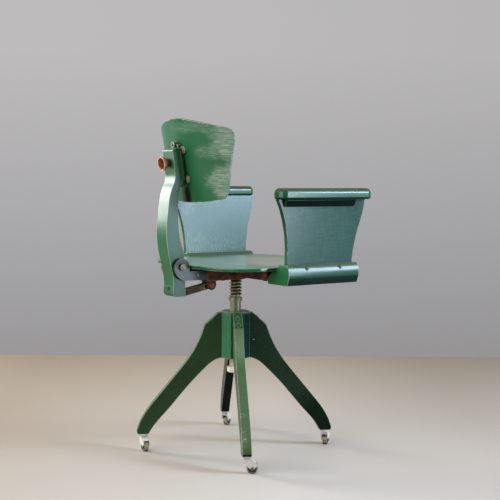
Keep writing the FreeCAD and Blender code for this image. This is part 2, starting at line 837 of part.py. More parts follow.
def buildSideBars():
    for side, name in ((-1, "side_bar_right"), (1, "side_bar_left")):
        inset = min(side * barInner, side * barOuter)
        rear = pivotY + s.barRound
        heel = Vector(inset, rear - s.pivotRise, barBottom)
        back = Vector(inset, rear, pivotHeight)
        crown = Vector(inset, pivotY, pivotHeight + s.barRound)
        throat = Vector(inset, pivotY - s.barRound, pivotHeight)
        upper = barBottom + s.barTall
        neck = Vector(inset, pivotY - s.barRound, upper)
        front = Vector(inset, s.barFront, upper)
        toe = Vector(inset, s.barFront, barBottom)
        heelMid = Vector(inset, rear - s.pivotRise * (1 - quarterMid),
                         pivotHeight - s.pivotRise * quarterMid)
        aside = s.barRound * quarterMid
        backMid = Vector(inset, pivotY + aside, pivotHeight + aside)
        throatMid = Vector(inset, pivotY - aside, pivotHeight + aside)
        edges = [Part.Arc(heel, heelMid, back).toShape(), Part.Arc(back, backMid, crown).toShape(),
                 Part.Arc(crown, throatMid, throat).toShape()]
        edges += straight(throat, neck, front, toe, heel)
        bar = slab(edges, (s.barThick, 0, 0))
        hole = rod((-capOuter, pivotY, pivotHeight), (capOuter, pivotY, pivotHeight),
                   s.pivotBoltDiameter + s.screwFit)
        solidFeature(name, bar.cut([hole] + barScrewHoles()))

    screws = []
    for side in (-1, 1):
        screw = domedScrew(s.barScrewDiameter, s.barScrewLong, s.barScrewHead, s.barScrewHeadThick)
        screws.append(pointed(screw, (side * barOuter, barScrewY, barScrewHeight),
                              (-side, 0, 0)))
    solidFeature("side_bar_screws", Part.makeCompound(screws))


def hexagonPrism(x, thick, hole):
    # Hexagon about the pivot's axis, from x towards +X.
    corner = s.pivotHexFlats / math.sqrt(3)
    ring = [Vector(x, pivotY + corner * math.cos(math.radians(60 * i)),
                   pivotHeight + corner * math.sin(math.radians(60 * i))) for i in range(7)]
    prism = slab(straight(*ring), (thick, 0, 0))
    if hole:
        prism = prism.cut(rod((x, pivotY, pivotHeight), (x + thick, pivotY, pivotHeight), hole))
    return prism


def buildPivotBolt():
    end = barOuter + s.pivotNutThick + s.smallGap
    shank = rod((-barOuter, pivotY, pivotHeight), (end, pivotY, pivotHeight), s.pivotBoltDiameter)
    head = hexagonPrism(-barOuter - s.pivotHeadThick, s.pivotHeadThick, None)
    solidFeature("pivot_bolt", joined([head, shank]))
    solidFeature("pivot_nut", hexagonPrism(barOuter, s.pivotNutThick, s.pivotBoltDiameter + s.screwFit))


# The backrest's own frame: out along the upright's bolt, up along its tilted face.
def backFrame():
    tilt = Rotation(Vector(1, 0, 0), -s.backTilt)
    return Placement(Vector(0, faceY, faceHeight), tilt)


def onBack(x, rearward, up):
    return backFrame().multVec(Vector(x, rearward, up))


# Upright: one board with a straight head, an S-shaped waist and a plain foot.
# Shares of the run from the foot's bottom to the waist, and of the foot's depth.
uprightRearShares = [(0.900, 1.18), (0.720, 1.44), (0.616, 1.53), (0.453, 1.50), (0.308, 1.265),
                     (0.189, 1.03), (0.065, 1.00)]
uprightFrontShares = [(0.931, 0.397), (0.797, 0.603), (0.627, 0.574), (0.460, 0.368),
                      (0.384, 0.162), (0.257, 0.074), (0.138, 0)]


def buildUpright():
    inset = -s.uprightWide / 2
    headFront = onBack(inset, 0, s.faceAbove)
    headRear = onBack(inset, s.topThick, s.faceAbove)
    waistFront = onBack(inset, 0, -s.faceBelow)
    waistRear = onBack(inset, s.waistThick, -s.faceBelow)
    rise = waistFront.z - uprightBottom

    def along(shares):
        return [Vector(inset, uprightFoot + s.footDeep * deep, uprightBottom + rise * up)
                for up, deep in shares]

    rear = [waistRear] + along(uprightRearShares)
    front = [waistFront] + along(uprightFrontShares)
    heelY = uprightFoot + s.footDeep
    heelTop = Vector(inset, heelY, uprightBottom + s.footHeelRound)
    turn = s.footHeelRound * (1 - quarterMid)
    heelMid = Vector(inset, heelY - turn, uprightBottom + turn)
    heelFoot = Vector(inset, heelY - s.footHeelRound, uprightBottom)
    toe = Vector(inset, uprightFoot, uprightBottom)
    edges = straight(headFront, headRear, waistRear)
    edges += [smooth(rear)] + straight(rear[-1], heelTop)
    edges += [Part.Arc(heelTop, heelMid, heelFoot).toShape()] + straight(heelFoot, toe, front[-1])
    edges += [smooth(front)] + straight(waistFront, headFront)
    board = slab(edges, (s.uprightWide, 0, 0))
    for radius, point in ((s.waistRound, waistRear), (s.headRound, headRear)):
        across = [edge for edge in board.Edges
                  if max(abs(end.Point.y - point.y) + abs(end.Point.z - point.z)
                         for end in edge.Vertexes) < s.smallGap]
        board = board.makeFillet(radius, across)
    pivotHole = rod((inset - s.overrun, pivotY, pivotHeight),
                    (-inset + s.overrun, pivotY, pivotHeight), s.pivotBoltDiameter + s.runningFit * 2)
    studHole = rod(onBack(0, -s.overrun, 0), onBack(0, s.waistThick + s.overrun, 0),
                   s.studDiameter + s.screwFit * 2)
    leafHole = rod((0, uprightFoot - s.leafThick - s.overrun, leafScrewHeight),
                   (0, uprightFoot + s.footDeep + s.overrun, leafScrewHeight),
                   s.leafScrewDiameter + s.screwFit * 2)
    board = board.cut([pivotHole, studHole, leafHole])
    upright = solidFeature("upright", board)

    leafFront = uprightFoot - s.leafThick
    inner = s.linkWide / 2 + s.earGap
    outer = inner + s.earThick
    leafFoot = linkPinHeight - s.earRound
    leaf = boxOf((-outer, leafFront, leafFoot), (outer, uprightFoot, leafTop))
    ears = []
    for side in (-1, 1):
        low = min(side * inner, side * outer)
        ears.append(rod((low, linkPinY, linkPinHeight),
                        (low + s.earThick, linkPinY, linkPinHeight), s.earRound * 2))
        ears.append(boxOf((low, linkPinY, linkPinHeight - s.earRound),
                          (low + s.earThick, leafFront, linkPinHeight + s.earRound)))
    pinHole = rod((-outer - s.overrun, linkPinY, linkPinHeight),
                  (outer + s.overrun, linkPinY, linkPinHeight), s.pinDiameter + s.screwFit)
    bracket = joined([leaf] + ears).cut([pinHole, leafHole])
    solidFeature("link_bracket", bracket)

    shankLong = s.footDeep + s.leafThick
    screw = domedScrew(s.leafScrewDiameter, shankLong, s.leafScrewHead, s.leafScrewHeadThick)
    solidFeature("link_bracket_screw",
                 pointed(screw, (0, uprightFoot + s.footDeep, leafScrewHeight), (0, -1, 0)))

    pin = rod((-outer, linkPinY, linkPinHeight), (outer, linkPinY, linkPinHeight), s.pinDiameter)
    heads = []
    for side in (-1, 1):
        heads.append(rod((side * outer, linkPinY, linkPinHeight),
                         (side * (outer + s.linkPinHeadThick), linkPinY, linkPinHeight),
                         s.linkPinHead))
    solidFeature("link_rear_pin", joined([pin] + heads))
    return upright


# Link: a bar from the bracket's pin to a slot round the lug's pin.
def buildLink():
    rearPin = Vector(0, linkPinY, linkPinHeight)
    frontPin = Vector(0, s.lugPinY, lugPinHeight)
    span = frontPin - rearPin
    length = span.Length
    half = s.linkWide / 2
    slotHalf = s.pinDiameter / 2 + s.slotFit
    noseAt = length + s.slotFront
    # The bar is drawn along its own +Y with its rear pin at the origin.
    eye = rod((-half, 0, 0), (half, 0, 0), s.linkEye * 2)
    bar = boxOf((-half, 0, -s.linkEye), (half, noseAt, s.linkEye))
    nose = rod((-half, noseAt, 0), (half, noseAt, 0), s.linkEye * 2)
    hole = rod((-half - s.overrun, 0, 0), (half + s.overrun, 0, 0), s.pinDiameter + s.runningFit * 2)
    slotEnds = [length - s.slotRear, length + s.slotFront]
    slot = [rod((-half - s.overrun, y, 0), (half + s.overrun, y, 0), slotHalf * 2) for y in slotEnds]
    slot.append(boxOf((-half - s.overrun, slotEnds[0], -slotHalf),
                      (half + s.overrun, slotEnds[1], slotHalf)))
    bar = joined([eye, bar, nose]).cut([hole] + slot)
    rise = math.degrees(math.atan2(span.z, span.y))
    solidFeature("link_bar", bar, Placement(rearPin, Rotation(Vector(1, 0, 0), rise)))


# Backrest: a bent plywood panel on a slotted bracket that slides on the upright.
# Shares of the half width, and of the height above or below the panel's middle.
backTopShares = [(0, 1.0), (0.19, 0.972), (0.381, 0.915), (0.656, 0.795), (0.90, 0.665)]
backCornerShares = [(0.975, 0.600), (1.0, 0.490)]
backSideShares = [(1.0, 0.342), (0.944, 0.044)]
backLowShares = [(0.8875, 0.294), (0.8375, 0.634), (0.794, 0.846), (0.738, 0.966)]
# Shares of the bend's radius between which the edges are cut.
backFanShares = (1.2, 0.5)


def panelFrame():
    # Origin on the panel's rear face behind the bolt, +Z up along the panel.
    return Placement(onBack(0, -s.bracketDeep, 0), Rotation(Vector(1, 0, 0), -s.panelTilt))


def backCylinder(radius):
    # Cylinder about the panel's bend, standing in the panel's frame.
    tall = s.backAbove + s.backBelow + s.overrun * 2
    return Part.makeCylinder(radius, tall, Vector(0, -s.backRadius, -s.backBelow - s.overrun))


def bracketBoltPlaces():
    return [(side * s.upperBoltX, s.upperBoltUp) for side in (-1, 1)] + \
           [(side * s.lowerBoltX, -s.lowerBoltDown) for side in (-1, 1)]


def bracketDepth(up):
    # The panel leans more than the upright, so the gap grows downwards.
    return s.bracketDeep - up * math.tan(math.radians(s.panelTilt - s.backTilt))


def boltRods(diameter, rear, front):
    # Rods through bracket and panel at each bolt, from rear to front of the foot's face.
    rods = []
    for x, up in bracketBoltPlaces():
        foot = s.footPlateThick - bracketDepth(up)
        rods.append(rod((x, foot + rear, up), (x, foot + front, up), diameter))
    return rods


def boltHoles():
    reach = -s.footPlateThick * 2 - s.backThick * 2
    holes = Part.makeCompound(boltRods(s.bracketBoltDiameter + s.screwFit * 2, s.overrun, reach))
    holes.Placement = backFrame()
    return holes


def buildBackPanel():
    # The edges are cut square to the bend: the outline narrows towards its axis.
    def drawn(shares, tall):
        places = []
        for across, up in shares:
            x = s.backHalfWide * across
            fanned = x * s.backRadius / math.sqrt(s.backRadius * s.backRadius - x * x)
            places.append(Vector(fanned, 0, tall * up))
        return places

    def mirrored(points):
        return [Vector(-point.x, point.y, point.z) for point in points]

    def outlineWire(share):
        # The outline at a share of the radius, so 1 is at the rear face.
        top = drawn(backTopShares, s.backAbove)
        cornerMid, cornerEnd = drawn(backCornerShares, s.backAbove)
        side = [cornerEnd] + drawn(backSideShares, s.backAbove) + drawn(backLowShares, -s.backBelow)
        foot = Vector(0, 0, -s.backBelow)
        runs = [mirrored(top)[::-1] + top[1:], [top[-1], cornerMid, cornerEnd], side,
                [side[-1], foot, mirrored(side)[-1]], mirrored(side)[::-1],
                mirrored([top[-1], cornerMid, cornerEnd])[::-1]]
        edges = []
        for kind, run in zip(("smooth", "smooth", "straight", "smooth", "straight", "smooth"), runs):
            moved = [Vector(point.x * share, -s.backRadius * (1 - share), point.z) for point in run]
            edges += [smooth(moved)] if kind == "smooth" else straight(*moved)
        return Part.Wire(edges)

    fan = Part.makeLoft([outlineWire(share) for share in backFanShares], True, True)
    shell = backCylinder(s.backRadius).cut(backCylinder(s.backRadius - s.backThick))
    panel = shell.common(fan)
    panel.Placement = panelFrame()
    panel = panel.cut(boltHoles())
    solidFeature("backrest_panel", panel)
    return panel


def buildBackBracket(panel):
    wide, wall = s.strapHalfWide, s.strapWall
    deep = s.bracketDeep + s.footPlateThick * 2
    face = -s.slideGap
    web = boxOf((-wide, -wall, -s.strapBelow), (wide, face, s.strapAbove))
    legs = [boxOf((-wide, -deep, -s.strapBelow), (wall - wide, face, s.strapAbove)),
            boxOf((wide - wall, -deep, -s.strapBelow), (wide, face, s.strapAbove))]
    feet = []
    for reach, level in ((s.upperBoltX, s.upperBoltUp), (s.lowerBoltX, -s.lowerBoltDown)):
        footRear = s.footPlateThick - bracketDepth(level)
        feet.append(boxOf((-reach, -deep, level - s.footPlateHalfTall),
                          (reach, footRear, level + s.footPlateHalfTall)))
        for side in (-1, 1):
            feet.append(rod((side * reach, -deep, level), (side * reach, footRear, level), s.footLobe * 2))
    eye = rod((0, -deep, s.strapAbove), (0, s.bossEyeRear, s.strapAbove), s.bossEyeDiameter)
    bracket = joined([web] + legs + feet + [eye])
    slotHalf = s.studDiameter / 2 + s.smallGap
    cuts = [boxOf((-slotHalf, -wall - s.overrun, -s.liftTravel), (slotHalf, s.overrun, 0))]
    for up in (-s.liftTravel, 0):
        cuts.append(rod((0, -wall - s.overrun, up), (0, s.overrun, up), slotHalf * 2))
    sinkEnd = s.bossEyeSink - bracketDepth(s.strapAbove)
    cuts.append(rod((0, -deep, s.strapAbove), (0, s.bossEyeRear + s.overrun, s.strapAbove), s.bossEyeHole))
    cuts.append(rod((0, -deep, s.strapAbove), (0, sinkEnd, s.strapAbove), s.bossEyeSinkDiameter))
    bracket = bracket.cut(cuts)
    bracket.Placement = backFrame()
    body = backCylinder(s.backRadius + s.screwFit)
    body.Placement = panelFrame()
    bracket = bracket.cut([body, boltHoles()])
    solidFeature("back_bracket", bracket)

    front = -s.footPlateThick - s.backThick - s.bracketBoltHeadThick * 2
    shanks = boltRods(s.bracketBoltDiameter, 0, front)
    nuts = boltRods(s.bracketNut, s.bracketNutThick, 0)
    heads = boltRods(s.bracketBoltHead, front + s.bracketBoltHeadThick * 3, front)
    bolts = Part.makeCompound([joined(list(pieces)) for pieces in zip(shanks, nuts, heads)])
    bolts.Placement = backFrame()
    solidFeature("bracket_bolts", bolts.cut([panel]))


# Clamping bolt through the upright, its wedge washer and its cupped knob.
# The cup's walls inwards from the rim, and shares of its depth.
knobOuterShares = [(1.6, 0.42), (0.3, 0.68), (0, 1.0)]
knobInnerShares = [(1.0, 1.0), (2.3, 0.66)]
knobNeckShare = 0.16
knobFloorWalls = 3.5


def buildClamp(upright):
    head = rod((0, -s.strapWall - s.smallGap - s.studHeadThick, 0), (0, -s.strapWall - s.smallGap, 0),
               s.studHeadDiameter)
    knobSeat = washerRear + s.smallGap
    stud = rod((0, -s.strapWall - s.smallGap, 0), (0, knobSeat + s.studProud, 0), s.studDiameter)
    solidFeature("clamp_bolt", joined([head, stud]), backFrame())

    washer = rod((0, s.topThick, 0), (0, washerRear, 0), s.washerDiameter)
    washer = washer.cut(rod((0, 0, 0), (0, washerRear + s.overrun, 0), s.studDiameter + s.screwFit * 2))
    washer.Placement = backFrame()
    solidFeature("clamp_washer", washer.cut(upright.Shape))

    bore = s.studDiameter / 2 + s.runningFit
    base, rim, deep, wall = s.knobBase / 2, s.knobRim / 2, s.knobDeep, s.knobWall
    boss = s.knobBossDiameter / 2
    cup = [(rim - wall * walls, deep * share) for walls, share in knobOuterShares + knobInnerShares]
    knob = revolved("Knob", [(bore, 0), (base, 0), (base + wall / 2, deep * knobNeckShare)] + cup +
                    [(rim - wall * knobFloorWalls, s.knobFloor), (boss, s.knobFloor),
                     (boss, s.knobBossTall), (bore, s.knobBossTall)])
    out = backFrame() * Placement(Vector(0, knobSeat, 0), Rotation(Vector(1, 0, 0), -90))
    knob.Placement = out
    keep("clamp_knob", knob)


# Arms: block under the seat's edge, leaning panel, cap and batten, on both sides.
# Shares of the panel's rise and of its spread from the foot to the top.
armRearShares = [(0, 0), (0.40, 0.12), (0.71, 0.44), (1.0, 1.0)]
armFrontShares = [(0, 0), (0.255, 0.13), (0.503, 0.40), (0.738, 0.77), (1.0, 1.0)]
# The block's section in shares of its height: inwards from a face, and up from its foot.
blockOuterShares = [(0.167, 0), (0.08, 0.2), (0.02, 0.37), (0, 0.52), (0.015, 0.68), (0.06, 0.82),
                    (0.125, 0.93), (0.2, 1.0)]
blockInnerShares = [(0.27, 0.46), (0.48, 0.23), (0.44, 0)]
blockBevelShare = 0.2


def armPanelSolid(side, grow):
    # Drawn leaning outwards; grow thickens the tongue's groove all round.
    slope = math.tan(math.radians(s.armLean))
    foot = armFootHeight - s.tongueDeep - grow
    rise = capUnderside - armFootHeight
    rear = [Vector(0, s.armFootRear + (s.armTopRear - s.armFootRear) * spread + grow,
                   armFootHeight + rise * up) for up, spread in armRearShares]
    front = [Vector(0, -s.armFootFront - (s.armTopFront - s.armFootFront) * spread - grow,
                    armFootHeight + rise * up) for up, spread in armFrontShares]
    rearFoot = Vector(0, rear[0].y, foot)
    frontFoot = Vector(0, front[0].y, foot)
    edges = straight(front[0], frontFoot, rearFoot, rear[0]) + [smooth(rear)]
    edges += straight(rear[-1], front[-1]) + [smooth(front)]
    thick = s.armPanelThick + grow * 2
    board = slab(edges, (thick, 0, 0))
    lean = FreeCAD.Matrix()
    lean.A13 = slope
    board = board.transformGeometry(lean)
    start = armFoot - s.armPanelThick - grow - armFootHeight * slope
    board.translate(Vector(start, 0, 0))
    return board if side > 0 else board.mirror(Vector(0, 0, 0), Vector(1, 0, 0))


def armScrewPlaces(side):
    return [Vector(side * (blockOuter - s.armScrewSink - s.armScrewHeadThick), -y, armScrewHeight)
            for y in (s.armScrewRearY, s.armScrewFrontY)]


def buildArm(side, label):
    step = s.seatHalfWide + s.ledgeGap
    seatFoot = s.seatTop - s.seatThick
    tall = s.blockTall
    outer = blockOuter
    section = [(outer - tall * inwards, blockBottom + tall * up) for inwards, up in blockOuterShares]
    section += [(step + tall * blockBevelShare, blockTop), (step, s.seatTop), (step, seatFoot),
                (ledgeInner, seatFoot)]
    section += [(ledgeInner - tall * inwards, blockBottom + tall * up)
                for inwards, up in blockInnerShares]
    corners = [(side * across, up) for across, up in section]
    block = padded(f"Block{label.title()}", "XZ_Plane", corners, s.blockRear + s.blockFront)
    moveTo(block, 0, s.blockRear, 0)
    doc.recompute()
    holes = []
    for place in armScrewPlaces(side):
        shank = Part.makeCylinder(s.armScrewDiameter / 2 + s.screwFit, s.armScrewLong + s.smallGap)
        head = Part.makeCylinder(s.armScrewHead / 2 + s.screwFit, s.plugDeep)
        holes += [pointed(shank, place, (-side, 0, 0)), pointed(head, place, (side, 0, 0))]
    # The ledge follows the dish under the panel's rim.
    centre, radius = dishCentre()
    overLedge = boxOf((min(0, side * step), -s.blockFront - s.overrun, blockBottom),
                      (max(0, side * step), s.blockRear + s.overrun, s.seatTop))
    dish = Part.makeSphere(radius + s.seatThick + s.screwFit, centre).common(overLedge)
    grooved = block.Shape.cut([armPanelSolid(side, s.grooveGap), dish] + holes)
    solidFeature(f"arm_block_{label}", grooved)
    solidFeature(f"arm_panel_{label}", armPanelSolid(side, 0).cut(holes))

    wide = capOuter - capInner
    cap = padded(f"Cap{label.title()}", "XY_Plane",
                 [(0, 0), (wide, 0), (wide, s.capRear + s.capFront), (0, s.capRear + s.capFront)],
                 s.capThick)
    outside = wide if side > 0 else 0

    def upright(edge, atOutside):
        box = edge.BoundBox
        return (box.ZLength > s.capThick / 2
                and (abs(box.Center.x - outside) < s.smallGap) == atOutside)

    def alongTop(edge):
        box = edge.BoundBox
        return box.YLength > s.capThick and box.ZMin > s.capThick - s.smallGap

    def alongFoot(edge):
        box = edge.BoundBox
        return (box.YLength > s.capThick and box.ZMax < s.smallGap
                and abs(box.Center.x - outside) < s.smallGap)

    filletEdges(cap, s.capCornerRound, lambda edge: upright(edge, True))
    filletEdges(cap, s.capInnerCornerRound, lambda edge: upright(edge, False))
    filletEdges(cap, s.capUpperRound, alongTop)
    filletEdges(cap, s.capLowerRound, alongFoot)
    moveTo(cap, capInner if side > 0 else -capOuter, -s.capFront, capUnderside)
    keep(f"arm_cap_{label}", cap)

    slope = tangent(s.armLean)
    foot = capUnderside - s.battenTall
    lowIn = armFoot + (foot - armFootHeight) * slope + s.screwFit
    highIn = armFoot + (capUnderside - armFootHeight) * slope + s.screwFit
    corners = [(side * lowIn, foot), (side * (lowIn + s.battenFootWide), foot),
               (side * battenOuter, capUnderside - s.battenLip),
               (side * battenOuter, capUnderside), (side * highIn, capUnderside)]
    batten = padded(f"Batten{label.title()}", "XZ_Plane", corners, s.battenRear + s.battenFront)
    moveTo(batten, 0, s.battenRear, 0)
    keep(f"arm_batten_{label}", batten)


def buildArmScrews():
    screws = []
    for side in (-1, 1):
        for place in armScrewPlaces(side):
            screw = domedScrew(s.armScrewDiameter, s.armScrewLong, s.armScrewHead, s.armScrewHeadThick)
            screws.append(pointed(screw, place, (-side, 0, 0)))
    solidFeature("arm_screws", Part.makeCompound(screws))


buildHub()
buildLegs()
for number, (legTurn, trailTurn) in enumerate(zip(legTurns, castorTurns), start=1):
    buildCastor(number, legTurn, trailTurn)
buildSpindle()
buildSeatPanel()
buildSeatIron()
buildSideBars()
buildPivotBolt()
buildClamp(buildUpright())
buildLink()
buildBackBracket(buildBackPanel())
buildArm(-1, "right")
buildArm(1, "left")
buildArmScrews()
doc.recompute()

# Nothing is written unless every object is sound.
faulty = [item.Name for item in doc.Objects if "Invalid" in item.State or "Error" in item.State]
faulty += [name for name, piece in nodes.items() if piece.Shape.isNull() or not piece.Shape.isValid()]
if faulty:
    raise RuntimeError("These objects failed: " + ", ".join(faulty))

os.makedirs("parts", exist_ok=True)
for name, piece in nodes.items():
    piece.Shape.exportStep(f"parts/{name}.step")
    print(f"{name}: {len(piece.Shape.Solids)} solid(s), {piece.Shape.Volume / 1000:.1f} cm3")
print(f"{len(nodes)} nodes")
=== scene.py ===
import json
import math

import bpy
from mathutils import Matrix, Vector


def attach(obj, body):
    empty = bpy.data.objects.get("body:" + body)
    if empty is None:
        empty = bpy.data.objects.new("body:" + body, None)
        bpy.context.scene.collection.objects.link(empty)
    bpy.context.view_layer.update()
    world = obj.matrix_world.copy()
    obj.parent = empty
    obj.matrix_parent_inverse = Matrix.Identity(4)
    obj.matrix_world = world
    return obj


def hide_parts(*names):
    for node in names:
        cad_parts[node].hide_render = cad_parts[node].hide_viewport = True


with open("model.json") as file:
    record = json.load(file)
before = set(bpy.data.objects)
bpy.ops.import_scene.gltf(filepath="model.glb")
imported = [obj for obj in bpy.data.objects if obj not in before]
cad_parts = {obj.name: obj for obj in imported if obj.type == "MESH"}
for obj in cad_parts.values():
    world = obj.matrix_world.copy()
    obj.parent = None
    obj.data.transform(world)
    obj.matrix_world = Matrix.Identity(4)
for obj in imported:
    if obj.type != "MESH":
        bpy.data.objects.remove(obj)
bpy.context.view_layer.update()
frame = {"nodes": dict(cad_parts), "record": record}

# Lengths are in metres, angles in degrees, powers in watts and colours in linear light.
scene = bpy.context.scene
scene.view_settings.view_transform = "Standard"

# Camera.
viewpoint = {
    "place": (-2.1223, 1.4315, 0.6808),
    "aheadX": 0.829, "aheadY": -0.559,
    "pitchDown": 4.01,
    "roll": 0.33,
    "lens": 73.9,
    "sensor": 36.0,
    "shift": 0.0289,
    "clipEnd": 60,
}


def placeCamera():
    camera = bpy.data.cameras.new("photoCamera")
    camera.lens, camera.sensor_width = viewpoint["lens"], viewpoint["sensor"]
    camera.shift_x = viewpoint["shift"]
    camera.clip_end = viewpoint["clipEnd"]
    holder = bpy.data.objects.new("photoCamera", camera)
    scene.collection.objects.link(holder)
    pitch = math.radians(viewpoint["pitchDown"])
    ahead = Vector((viewpoint["aheadX"], viewpoint["aheadY"], 0)).normalized()
    ahead = ahead * math.cos(pitch) - Vector((0, 0, math.sin(pitch)))
    turn = ahead.to_track_quat("-Z", "Y").to_matrix().to_4x4()
    roll = Matrix.Rotation(math.radians(viewpoint["roll"]), 4, "Z")
    holder.matrix_world = Matrix.Translation(viewpoint["place"]) @ turn @ roll
    scene.camera = holder


placeCamera()
print("camera placed")


# Shader nodes.
def addNode(tree, kind, values=None, **settings):
    node = tree.nodes.new(kind)
    for name, value in settings.items():
        setattr(node, name, value)
    for name, value in (values or {}).items():
        node.inputs[name].default_value = value
    return node


def feed(tree, socket, value):
    # A plain value is set on the socket, and another node's output is linked to it.
    if isinstance(value, (int, float, tuple)):
        socket.default_value = value
    else:
        tree.links.new(value, socket)


def mathNode(tree, operation, first, second=None, third=None, clamp=False):
    node = addNode(tree, "ShaderNodeMath", operation=operation, use_clamp=clamp)
    for socket, value in zip(node.inputs, (first, second, third)):
        if value is not None:
            feed(tree, socket, value)
    return node.outputs[0]


def mixColour(tree, factor, first, second, blend="MIX"):
    node = addNode(tree, "ShaderNodeMix", data_type="RGBA", blend_type=blend)
    for socket, value in zip((node.inputs[0], node.inputs[6], node.inputs[7]), (factor, first, second)):
        feed(tree, socket, value)
    return node.outputs[2]


def noiseNode(tree, vector, scale, detail=4.0, roughness=0.55, distortion=0.0):
    node = addNode(tree, "ShaderNodeTexNoise", {"Detail": detail, "Roughness": roughness,
                                                "Distortion": distortion})
    tree.links.new(vector, node.inputs["Vector"])
    feed(tree, node.inputs["Scale"], scale)
    return node.outputs["Fac"]


def stepNode(tree, value, low, high):
    # A soft step from 0 at the low value to 1 at the high one.
    node = addNode(tree, "ShaderNodeMapRange", interpolation_type="SMOOTHSTEP")
    for name, given in zip(("Value", "From Min", "From Max"), (value, low, high)):
        feed(tree, node.inputs[name], given)
    return node.outputs[0]


def rangeNode(tree, value, low, high, values=None):
    # A straight ramp from the low value to the high one, which gives 0 to 1 unless told otherwise.
    node = addNode(tree, "ShaderNodeMapRange", {"From Min": low, "From Max": high, **(values or {})})
    tree.links.new(value, node.inputs["Value"])
    return node.outputs[0]


def oneMinus(tree, value):
    return mathNode(tree, "SUBTRACT", 1.0, value)


def alongNode(tree, vector, direction):
    # How far a vector reaches along a direction.
    node = addNode(tree, "ShaderNodeVectorMath", operation="DOT_PRODUCT")
    tree.links.new(vector, node.inputs[0])
    node.inputs[1].default_value = direction
    return node.outputs["Value"]


def scaledNode(tree, vector, share):
    node = addNode(tree, "ShaderNodeVectorMath", operation="SCALE")
    tree.links.new(vector, node.inputs[0])
    tree.links.new(share, node.inputs["Scale"])
    return node.outputs[0]


def stretchedNode(tree, vector, scale):
    node = addNode(tree, "ShaderNodeMapping")
    node.inputs["Scale"].default_value = scale
    tree.links.new(vector, node.inputs["Vector"])
    return node.outputs[0]


def heightNode(tree, vector):
    node = addNode(tree, "ShaderNodeSeparateXYZ")
    tree.links.new(vector, node.inputs[0])
    return node.outputs["Z"]


def rampNode(tree, value, stops):
    node = addNode(tree, "ShaderNodeValToRGB")
    elements = node.color_ramp.elements
    while len(elements) < len(stops):
        elements.new(0.5)
    for element, (place, colour) in zip(elements, stops):
        element.position, element.color = place, colour
    tree.links.new(value, node.inputs[0])
    return node.outputs[0]


# Lamps.
lamps = {
    "windowLeft": {"place": (2.35, 1.25, 1.2), "size": (0.7, 1.0), "power": 43,
                   "colour": (1.0, 0.99, 0.97)},
    "windowRight": {"place": (-2.2, -1.65, 0.80), "size": (1.1, 0.34), "power": 8.8,
                    "colour": (0.54, 0.75, 1.0)},
    "glowRight": {"place": (-2.2, -1.75, 0.15), "size": (0.7, 0.4), "power": 1.35,
                  "colour": (0.48, 0.68, 1.0)},
    "glowUpright": {"place": (-2.2, -1.2, 0.49), "size": (0.4, 0.9), "power": 14,
                    "colour": (0.70, 0.84, 1.0)},
    "skyRight": {"place": (-1.8, -1.58, 1.5), "size": (0.5, 1.15), "power": 58,
                 "colour": (0.64, 0.80, 1.0)},
    "key": {"place": (-0.1, 2.8, 1.5), "size": (3.8, 2.4), "power": 95,
            "colour": (1.0, 1.0, 0.97)},
    "ceiling": {"place": (0.3, 0.0, 3.0), "size": (2.4, 2.4), "power": 22,
                "colour": (1.0, 0.99, 0.95)},
}
aimHeight = 0.45


def placeLamps():
    for name, lamp in lamps.items():
        light = bpy.data.lights.new(name, "AREA")
        light.shape, (light.size, light.size_y) = "RECTANGLE", lamp["size"]
        light.energy, light.color = lamp["power"], lamp["colour"]
        holder = bpy.data.objects.new(name, light)
        scene.collection.objects.link(holder)
        towards = Vector((0, 0, aimHeight)) - Vector(lamp["place"])
        turn = towards.to_track_quat("-Z", "Y").to_matrix().to_4x4()
        holder.matrix_world = Matrix.Translation(lamp["place"]) @ turn
        holder.visible_camera = False


placeLamps()
print("lamps placed")

# Wall, in the world.
wall = {
    "low": (0.32, 0.312, 0.318, 1),
    "middle": (0.385, 0.378, 0.39, 1), "middleAt": 0.35,
    "high": (0.51, 0.50, 0.505, 1),
    "heights": (-0.17, 0.12),
    "right": 0.93, "breadth": (-0.25, 0.15),
    "darkSide": 0.03, "brightSide": 0.5, "sides": (-0.5, 0.85),
    "light": (0.97, 0.99, 1.0, 1),
}


def wallColour(tree, direction):
    # The wall is paler upwards and a little darker towards the picture's right.
    upwards = rangeNode(tree, heightNode(tree, direction), *wall["heights"])
    colour = rampNode(tree, upwards, [
        (0.0, wall["low"]), (wall["middleAt"], wall["middle"]), (1.0, wall["high"])])
    aside = alongNode(tree, direction, (-viewpoint["aheadY"], viewpoint["aheadX"], 0))
    breadth = rangeNode(tree, aside, *wall["breadth"], {"To Min": wall["right"], "To Max": 1.0})
    return scaledNode(tree, colour, breadth)


